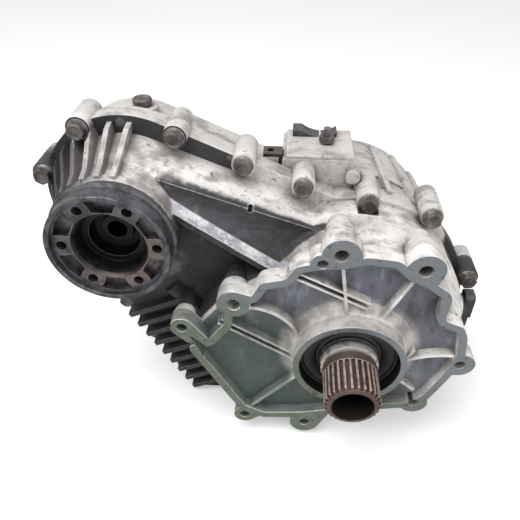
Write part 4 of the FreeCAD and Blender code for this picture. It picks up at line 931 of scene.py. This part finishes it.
@dataclass(frozen=True)
class DullSolid:
    """Rubber, plastic, paint or paper, matt and a little dusty."""

    name: str
    colour: Colour
    dust: Colour
    dust_share: float
    roughness: float
    grain: float
    depth: float

    def make(self) -> bpy.types.Material:
        """Build the material.

        Returns:
            The dull finish.
        """
        tree = FinishTree(self.name)
        cloud = tree.noise(7, 5)
        fine = tree.noise(self.grain, 3)
        up = tree.facing(Axis.Z).between(-0.2, 0.9)
        dusty = (cloud + fine * 0.3 + up * 0.2).between(0.62, 0.95) * self.dust_share
        colour = tree.mix(dusty, self.colour, self.dust)
        return tree.finish(
            Base_Color=colour,
            Roughness=self.roughness + (fine - 0.5) * 0.2,
            Normal=tree.bump(fine, self.depth, tree.rounded(0.4)),
        )


FINISHES = {
    "cast_aluminium": CastAluminium(),
    "bolt_steel": WorkedSteel(
        "bolt_steel",
        light=srgb(118, 114, 112),
        dark=srgb(66, 62, 61),
        stain=srgb(92, 70, 55),
        stain_share=0.3,
        roughness=0.5,
        metallic=0.5,
        shade_and_grime=0.8,
        edge_share=0.5,
        cups=(FRONT_LINE,),
    ),
    "bearing_steel": WorkedSteel(
        "bearing_steel",
        light=srgb(190, 190, 192),
        dark=srgb(150, 150, 154),
        stain=srgb(120, 104, 84),
        stain_share=0.15,
        roughness=0.25,
        metallic=0.95,
        shade_and_grime=0.5,
        edge_share=0.3,
        turned=True,
    ),
    "rusty_steel": SplinedShaft(
        "rusty_steel",
        light=srgb(146, 128, 114),
        dark=srgb(96, 80, 70),
        stain=srgb(96, 60, 42),
        stain_share=0.6,
        roughness=0.46,
        metallic=0.55,
        shade_and_grime=0.6,
        edge_share=0.45,
    ),
    "flange_steel": CuppedFlange(
        "flange_steel",
        light=srgb(104, 103, 108),
        dark=srgb(58, 58, 63),
        stain=srgb(78, 66, 60),
        stain_share=0.4,
        roughness=0.38,
        metallic=0.7,
        shade_and_grime=0.9,
        edge_share=0.55,
        turned=True,
        cups=(FRONT_LINE, INPUT_LINE),
    ),
    "gear_steel": WorkedSteel(
        "gear_steel",
        light=srgb(166, 164, 162),
        dark=srgb(128, 124, 120),
        stain=srgb(112, 88, 58),
        stain_share=0.25,
        roughness=0.3,
        metallic=0.9,
        shade_and_grime=0.7,
        edge_share=0.4,
        cups=(FRONT_LINE,),
    ),
    "magnet": WorkedSteel(
        "magnet",
        light=srgb(84, 84, 88),
        dark=srgb(60, 60, 64),
        stain=srgb(40, 38, 38),
        stain_share=0.6,
        roughness=0.55,
        metallic=0.7,
        shade_and_grime=0.6,
        edge_share=0.2,
    ),
    "seal_rubber": DullSolid(
        "seal_rubber",
        colour=srgb(12, 12, 13),
        dust=srgb(56, 53, 50),
        dust_share=0.3,
        roughness=0.45,
        grain=0.8,
        depth=0.06,
    ),
    "black_plastic": DullSolid(
        "black_plastic",
        colour=srgb(26, 25, 27),
        dust=srgb(104, 100, 98),
        dust_share=0.5,
        roughness=0.55,
        grain=0.6,
        depth=0.05,
    ),
    "black_steel": DullSolid(
        "black_steel",
        colour=srgb(24, 23, 24),
        dust=srgb(96, 88, 80),
        dust_share=0.5,
        roughness=0.42,
        grain=1.2,
        depth=0.06,
    ),
    "friction_lining": DullSolid(
        "friction_lining",
        colour=srgb(112, 88, 60),
        dust=srgb(70, 54, 38),
        dust_share=0.8,
        roughness=0.85,
        grain=0.35,
        depth=0.1,
    ),
}


class Workshop:
    """Makes each finish once and hands it out."""

    def __init__(self) -> None:
        """Start with nothing made."""
        self.made: dict[str, bpy.types.Material] = {}

    def finish(self, slot: str) -> bpy.types.Material:
        """Material for one of the record's slots, made at its first use.

        Args:
            slot: The record's slot name.

        Returns:
            The material.
        """
        if slot not in self.made:
            self.made[slot] = FINISHES[slot].make()
        return self.made[slot]

    def dress(self, thing: bpy.types.Object, slot: str) -> None:
        """Give every slot of an object one finish.

        Args:
            thing: Object with a mesh.
            slot: The record's slot name.
        """
        material = self.finish(slot)
        if not thing.material_slots:
            thing.data.materials.append(material)
        for place in thing.material_slots:
            place.material = material


# --- Mesh building ----------------------------------------------------------------------------


def lathe(profile: list[tuple[float, float]], centre: Vector, segments: int = 96) -> bmesh.types.BMesh:
    """Turn a closed profile about a line along Y.

    Args:
        profile: Closed outline as (radius, distance back) pairs in millimetres.
        centre: Point on the line, in metres, from which the distances run.
        segments: Steps round the turn.

    Returns:
        Mesh of the turned solid.
    """
    made = bmesh.new()
    rings = []
    for step in range(segments):
        turn = 2 * math.pi * step / segments
        ring = []
        for radius, back in profile:
            offset = Vector((radius * math.cos(turn), back, radius * math.sin(turn)))
            ring.append(made.verts.new(centre + offset * MM))
        rings.append(ring)
    count = len(profile)
    for step in range(segments):
        here, there = rings[step], rings[(step + 1) % segments]
        for i in range(count):
            j = (i + 1) % count
            made.faces.new((here[i], there[i], there[j], here[j]))
    bmesh.ops.recalc_face_normals(made, faces=made.faces)
    return made


def add_piece(name: str, made: bmesh.types.BMesh) -> bpy.types.Object:
    """Turn a mesh in the making into an object of the scene.

    Args:
        name: Name of the piece.
        made: Mesh, which is used up.

    Returns:
        The new object.
    """
    mesh = bpy.data.meshes.new(name)
    made.to_mesh(mesh)
    made.free()
    for face in mesh.polygons:
        face.use_smooth = True
    thing = bpy.data.objects.new(name, mesh)
    bpy.context.scene.collection.objects.link(thing)
    return thing


def loose_boxes(thing: bpy.types.Object) -> list[tuple[Vector, Vector]]:
    """Lowest and highest corner of each separate solid in a mesh.

    Args:
        thing: Object whose mesh holds the solids.

    Returns:
        One pair of corners for each solid, in order along X.
    """
    made = bmesh.new()
    made.from_mesh(thing.data)
    bmesh.ops.remove_doubles(made, verts=made.verts, dist=0.01 * MM)
    left = set(made.verts)
    boxes = []
    while left:
        stack = [left.pop()]
        found = list(stack)
        while stack:
            for edge in stack.pop().link_edges:
                for vert in edge.verts:
                    if vert in left:
                        left.remove(vert)
                        stack.append(vert)
                        found.append(vert)
        low = Vector(min(v.co[i] for v in found) for i in range(3))
        high = Vector(max(v.co[i] for v in found) for i in range(3))
        boxes.append((low, high))
    made.free()
    return sorted(boxes, key=lambda pair: (pair[0].x, pair[0].z))


def stand_for(piece: bpy.types.Object, node: str, slot: str, body: str, workshop: Workshop) -> None:
    """Finish a piece, let it ride on a body and let it stand for its node.

    Args:
        piece: The piece.
        node: Node that it replaces.
        slot: The record's slot name.
        body: Body that it rides on.
        workshop: Where finishes are made.
    """
    workshop.dress(piece, slot)
    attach(piece, body)
    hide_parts(node)


# --- Sub-assemblies -----------------------------------------------------------------------------


@dataclass
class ShaftSeal:
    """Lip seal: a rubber-covered case with a main lip, a dust lip and beads on its rim."""

    node: str
    body: str
    bead: float = 0.35
    lip: float = 1.6

    def build(self, nodes: Nodes) -> bpy.types.Object:
        """Turn the seal in the place of its plain ring.

        Args:
            nodes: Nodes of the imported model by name.

        Returns:
            The seal.
        """
        low, high = (Vector(corner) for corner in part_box(self.node))
        centre = (low + high) / 2
        centre.y = low.y
        outer = (high.x - low.x) / 2 / MM
        length = (high.y - low.y) / MM
        inner = self._bore(nodes[self.node])
        wall = outer - 2.2
        profile = [
            (outer - 0.5, 0.0), (wall, 0.0), (wall - 0.4, 0.5), (wall - 0.8, length * 0.34),
            (wall - 1.6, length * 0.4), (inner + 4.2, length * 0.42), (inner + 3.2, length * 0.3),
            (inner + 1.4, length * 0.12), (inner + 0.5, length * 0.1), (inner + 0.05, length * 0.2),
            (inner + 0.9, length * 0.34), (inner + self.lip, length * 0.5), (inner + 0.9, length * 0.62),
            (inner + 0.05, length * 0.7), (inner + 0.5, length * 0.82), (inner + 2.4, length * 0.86),
            (wall - 3.0, length * 0.8), (wall - 2.0, length * 0.96), (wall, length), (outer - 0.6, length),
            (outer - self.bead, length - 0.6), (outer - self.bead, length * 0.66), (outer, length * 0.6),
            (outer, length * 0.5), (outer - self.bead, length * 0.44), (outer - self.bead, length * 0.3),
            (outer, length * 0.24), (outer, length * 0.14), (outer - self.bead, 0.5),
        ]
        return add_piece(f"{self.node}_lips", lathe(profile, centre))

    def _bore(self, plain: bpy.types.Object) -> float:
        """Measure the plain ring's hole.

        Args:
            plain: The plain ring.

        Returns:
            Its inner radius, in millimetres.
        """
        low, high = (Vector(corner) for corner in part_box(self.node))
        middle = (low + high) / 2
        reaches = (math.hypot(v.co.x - middle.x, v.co.z - middle.z) for v in plain.data.vertices)
        return min(reaches) / MM

    def dress(self, piece: bpy.types.Object, workshop: Workshop) -> None:
        """Finish the seal and let it stand for its node."""
        stand_for(piece, self.node, "seal_rubber", self.body, workshop)


@dataclass
class CasingBolts:
    """Flange-head bolts round the parting plane, with chamfered hexagons."""

    node: str = "casing_bolts"
    shank: float = 3.85
    across_flats: float = 12.3
    collar: float = 8.1
    head: float = 7.6
    collar_height: float = 2.0
    dish: float = 0.7
    segments: int = 72
    turn_step: float = 0.37
    sharp_angle: float = math.radians(32)

    def _ring(self, radius: float, hexagon: bool) -> list[float]:
        """Radii round one level of the bolt.

        Args:
            radius: Radius of the round form.
            hexagon: Whether the flats cut into it.

        Returns:
            Radius at each step of the turn.
        """
        radii = []
        for step in range(self.segments):
            turn = 2 * math.pi * step / self.segments
            flat = self.across_flats / 2 / math.cos((turn + math.pi / 6) % (math.pi / 3) - math.pi / 6)
            radii.append(min(radius, flat) if hexagon else radius)
        return radii

    def _bolt(self, made: bmesh.types.BMesh, low: Vector, high: Vector, turn: float) -> None:
        """Add one bolt.

        Args:
            made: Mesh that takes the bolt.
            low: Lowest corner of the plain bolt.
            high: Highest corner of the plain bolt.
            turn: How far the hexagon is turned.
        """
        length = (high.y - low.y) / MM
        corner = self.across_flats / math.sqrt(3)
        # Each level is a radius, a distance back from the head's top and whether flats cut it
        levels = [
            (0.01, self.dish, False), (corner * 0.55, self.dish, False), (corner * 0.66, 0.1, False),
            (corner * 0.84, 0.0, False), (corner * 0.93, 0.35, True), (corner, 1.0, True),
            (corner, self.head - self.collar_height - 0.9, True), (self.collar - 1.4, self.head - 1.9, False),
            (self.collar - 0.3, self.head - 0.7, False), (self.collar, self.head - 0.3, False),
            (self.collar, self.head, False), (self.shank, self.head, False), (self.shank, length - 1, False),
            (self.shank - 0.8, length, False), (0.01, length, False),
        ]
        centre = Vector(((low.x + high.x) / 2, low.y, (low.z + high.z) / 2))
        rings = []
        for radius, back, hexagon in levels:
            ring = []
            for step, reach in enumerate(self._ring(radius, hexagon)):
                angle = 2 * math.pi * step / self.segments + turn
                offset = Vector((reach * math.cos(angle), back, reach * math.sin(angle)))
                ring.append(made.verts.new(centre + offset * MM))
            rings.append(ring)
        for here, there in zip(rings, rings[1:]):
            for i in range(self.segments):
                j = (i + 1) % self.segments
                made.faces.new((here[i], here[j], there[j], there[i]))
        made.faces.new(rings[0])
        made.faces.new(reversed(rings[-1]))

    def build(self, nodes: Nodes) -> bpy.types.Object:
        """Make all the bolts in the places of the plain ones.

        Args:
            nodes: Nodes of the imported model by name.

        Returns:
            One object with every bolt.
        """
        made = bmesh.new()
        for number, (low, high) in enumerate(loose_boxes(nodes[self.node])):
            self._bolt(made, low, high, number * self.turn_step)
        bmesh.ops.recalc_face_normals(made, faces=made.faces)
        piece = add_piece("casing_bolt_heads", made)
        piece.data.set_sharp_from_angle(angle=self.sharp_angle)
        return piece

    def dress(self, piece: bpy.types.Object, workshop: Workshop) -> None:
        """Finish the bolts and let them stand for their node."""
        stand_for(piece, self.node, "bolt_steel", "casing", workshop)


@dataclass
class EarPad:
    """Flat plate that closes the inner side of the upper left ear, round its bolt hole."""

    x: float = -92.5
    z: float = 51.5
    radius: float = 13.0
    hole: float = 5.35
    front: float = 0.04
    depth: float = 9.4
    round_off: float = 0.5
    edge_step: float = 0.12
    segments: int = 64

    def build(self) -> bpy.types.Object:
        """Turn the pad about the bolt hole.

        Returns:
            The pad.
        """
        profile = [
            (self.hole + self.round_off, self.front),
            (self.radius - self.round_off, self.front),
            (self.radius - self.edge_step, self.front + self.round_off),
            (self.radius, self.front + self.round_off * 2),
            (self.radius, self.depth),
            (self.hole, self.depth),
            (self.hole, self.front + self.round_off),
        ]
        centre = Vector((self.x, 0.0, self.z)) * MM
        piece = add_piece("upper_left_ear_pad", lathe(profile, centre, self.segments))
        piece.data.set_sharp_from_angle(angle=SHARP_ANGLE)
        return piece

    def dress(self, piece: bpy.types.Object, workshop: Workshop) -> None:
        """Finish the pad as part of the front casing.

        Args:
            piece: The pad.
            workshop: Where finishes are made.
        """
        workshop.dress(piece, "cast_aluminium")
        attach(piece, "casing")


@dataclass
class ControlCap:
    """Cast lid of the control tower with a black saddle along its rear edge: a dark piece that paints the
    shade inside the tower's concave top.
    """

    node: str = "control_cap"
    lid: float = 3.2
    saddle_depth: float = 15.0
    saddle_inset: tuple[float, float] = (5.0, 13.0)
    horn: float = 8.0
    sag: float = 5.2
    sag_power: float = 0.8
    end_drop: float = 1.2
    foot: float = 0.3
    soft_edge: float = 0.7
    soft_edge_angle: float = math.radians(35)
    steps: int = 24

    def _slab(
        self,
        name: str,
        outline: list[tuple[float, float]],
        start: float,
        end: float,
    ) -> bpy.types.Object:
        """Solid with one outline in X and Z, run along Y.

        Args:
            name: Name of the piece.
            outline: Corners in millimetres, in order.
            start: Y of its front, in millimetres.
            end: Y of its back, in millimetres.

        Returns:
            The piece.
        """
        made = bmesh.new()
        front, back = (
            [made.verts.new(Vector((x, y, z)) * MM) for x, z in outline]
            for y in (start, end)
        )
        made.faces.new(front)
        made.faces.new(reversed(back))
        for i in range(len(outline)):
            j = (i + 1) % len(outline)
            made.faces.new((front[i], back[i], back[j], front[j]))
        bmesh.ops.recalc_face_normals(made, faces=made.faces)
        piece = add_piece(name, made)
        soften = piece.modifiers.new("soften", "BEVEL")
        soften.width = self.soft_edge * MM
        soften.segments = 3
        soften.limit_method = "ANGLE"
        soften.angle_limit = self.soft_edge_angle
        piece.data.set_sharp_from_angle(angle=SHARP_ANGLE)
        return piece

    def build(self) -> tuple[bpy.types.Object, bpy.types.Object]:
        """Make the lid and its saddle.

        Returns:
            The lid and the saddle.
        """
        low, high = (Vector(corner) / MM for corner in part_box(self.node))
        lid_top = low.z + self.lid
        lid = self._slab(
            "control_lid",
            [(low.x, low.z), (high.x, low.z), (high.x, lid_top), (low.x, lid_top)],
            low.y,
            high.y,
        )
        left, right = low.x + self.saddle_inset[0], high.x - self.saddle_inset[1]
        foot = low.z + self.foot
        outline = [(left, foot), (right, foot), (right, high.z - self.end_drop)]
        for step in range(1, self.steps):
            share = step / self.steps
            sag = self.sag * math.sin(math.pi * share) ** self.sag_power
            x = right + (left + self.horn - right) * share
            outline.append((x, high.z - sag - self.end_drop * (1 - share)))
        outline += [(left + self.horn, high.z), (left, high.z)]
        # The saddle is painted shade: a dark piece where the tower's concave top lies in shade
        saddle = self._slab("control_shade_saddle", outline, high.y - self.saddle_depth, high.y)
        return lid, saddle

    def dress(self, pieces: tuple[bpy.types.Object, bpy.types.Object], workshop: Workshop) -> None:
        """Finish both pieces and let them stand for their node."""
        # The saddle takes the black plastic finish as painted shade
        for piece, slot in zip(pieces, ("cast_aluminium", "black_plastic")):
            stand_for(piece, self.node, slot, "casing", workshop)


# --- Stage ----------------------------------------------------------------------------------------


@dataclass
class Stage:
    """Pale floor, soft lamps and the camera."""

    floor_half: float = 6.0
    floor_glow: float = 0.34
    sky_light: float = 0.42
    sky_seen: float = 1.0
    key_place: tuple[float, float, float] = (-0.5, -0.5, 1.6)
    key_width: float = 1.2
    key_power: float = 26
    fill_place: tuple[float, float, float] = (1.4, -1.2, 0.8)
    fill_width: float = 1.4
    fill_power: float = 9
    lens: float = 37.38
    sensor_width: float = 36.0
    clip_start: float = 0.01
    camera_place: tuple[float, float, float] = (-0.05338, -0.29762, 0.33463)
    camera_right: tuple[float, float, float] = (0.99807, 0.06216, 0.0)
    camera_up: tuple[float, float, float] = (-0.03880, 0.62294, 0.78131)

    def floor(self, height: float) -> None:
        """Lay the floor.

        Args:
            height: Z of the floor, in metres.
        """
        made = bmesh.new()
        half = self.floor_half
        signs = ((-1, -1), (1, -1), (1, 1), (-1, 1))
        made.faces.new([made.verts.new((x * half, y * half, height)) for x, y in signs])
        floor = add_piece("floor", made)
        tree = FinishTree("pale_floor")
        seen = tree.node("ShaderNodeLightPath", {}, {}).value("Is Camera Ray")
        tree.finish(
            Base_Color=tree.mix(tree.noise(240, 2), srgb(236, 236, 236), srgb(242, 242, 242)),
            Roughness=0.9,
            Specular_IOR_Level=0.1,
            Emission_Color=tree.mix(seen, (0.0, 0.0, 0.0), (self.floor_glow,) * 3),
            Emission_Strength=1.0,
        )
        floor.data.materials.append(tree.material)
        floor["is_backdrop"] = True

    def sky(self) -> None:
        """Set the even light from all round."""
        world = bpy.data.worlds.new("studio")
        world.use_nodes = True
        nodes, links = world.node_tree.nodes, world.node_tree.links
        nodes.clear()
        path = nodes.new("ShaderNodeLightPath")
        seen = nodes.new("ShaderNodeMath")
        seen.operation = "MAXIMUM"
        links.new(path.outputs["Is Camera Ray"], seen.inputs[0])
        links.new(path.outputs["Is Glossy Ray"], seen.inputs[1])
        strength = nodes.new("ShaderNodeMapRange")
        strength.inputs["To Min"].default_value = self.sky_light
        strength.inputs["To Max"].default_value = self.sky_seen
        links.new(seen.outputs[0], strength.inputs["Value"])
        light = nodes.new("ShaderNodeBackground")
        light.inputs["Color"].default_value = (1.0, 1.0, 1.0, 1.0)
        links.new(strength.outputs["Result"], light.inputs["Strength"])
        output = nodes.new("ShaderNodeOutputWorld")
        links.new(light.outputs[0], output.inputs["Surface"])
        bpy.context.scene.world = world

    def lamp(self, name: str, place: Vector, aim: Vector, width: float, power: float) -> None:
        """Hang one soft lamp.

        Args:
            name: Name of the lamp.
            place: Where it hangs, in metres.
            aim: Point that it faces.
            width: Side of its square, in metres.
            power: Power in watts.
        """
        data = bpy.data.lights.new(name, "AREA")
        data.size = width
        data.energy = power
        lamp = bpy.data.objects.new(name, data)
        lamp.location = place
        lamp.rotation_euler = (aim - place).to_track_quat("-Z", "Y").to_euler()
        bpy.context.scene.collection.objects.link(lamp)

    def camera(self) -> None:
        """Set the camera."""
        data = bpy.data.cameras.new("camera")
        data.lens = self.lens
        data.sensor_width = self.sensor_width
        data.clip_start = self.clip_start
        camera = bpy.data.objects.new("camera", data)
        right, up = Vector(self.camera_right), Vector(self.camera_up)
        turn = Matrix((right, up, right.cross(up))).transposed().to_4x4()
        camera.matrix_world = Matrix.Translation(self.camera_place) @ turn
        bpy.context.scene.collection.objects.link(camera)
        bpy.context.scene.camera = camera

    def build(self, low: Vector, high: Vector) -> None:
        """Set up everything round the object.

        Args:
            low: Lowest corner of the object.
            high: Highest corner of the object.
        """
        middle = (low + high) / 2
        self.floor(low.z)
        self.sky()
        key, fill = middle + Vector(self.key_place), middle + Vector(self.fill_place)
        self.lamp("key_light", key, middle, self.key_width, self.key_power)
        self.lamp("fill_light", fill, middle, self.fill_width, self.fill_power)
        self.camera()
        bpy.context.scene.view_settings.view_transform = "Standard"


# --- Building ---------------------------------------------------------------------------------------


def main() -> None:
    """Build and dress every piece in order."""
    logging.basicConfig(level=logging.INFO, format="%(message)s")
    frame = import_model()
    nodes: Nodes = frame["nodes"]
    workshop = Workshop()
    slots = {row["node"]: row["material_slot"] for row in frame["record"]["subparts"]}
    for node, thing in nodes.items():
        workshop.dress(thing, slots[node])
        LOG.info("dressed %s as %s", node, slots[node])
    for node in ("input_seal", "front_output_seal", "rear_seal"):
        seal = ShaftSeal(node, "casing")
        seal.dress(seal.build(nodes), workshop)
        LOG.info("built the lips of %s", seal.node)
    bolts = CasingBolts()
    bolts.dress(bolts.build(nodes), workshop)
    LOG.info("built the casing bolts")
    pad = EarPad()
    pad.dress(pad.build(), workshop)
    cap = ControlCap()
    cap.dress(cap.build(), workshop)
    LOG.info("built the ear pad and the control cap")
    low, high = (Vector(corner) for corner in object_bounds())
    Stage().build(low, high)


if __name__ == "__main__":
    main()
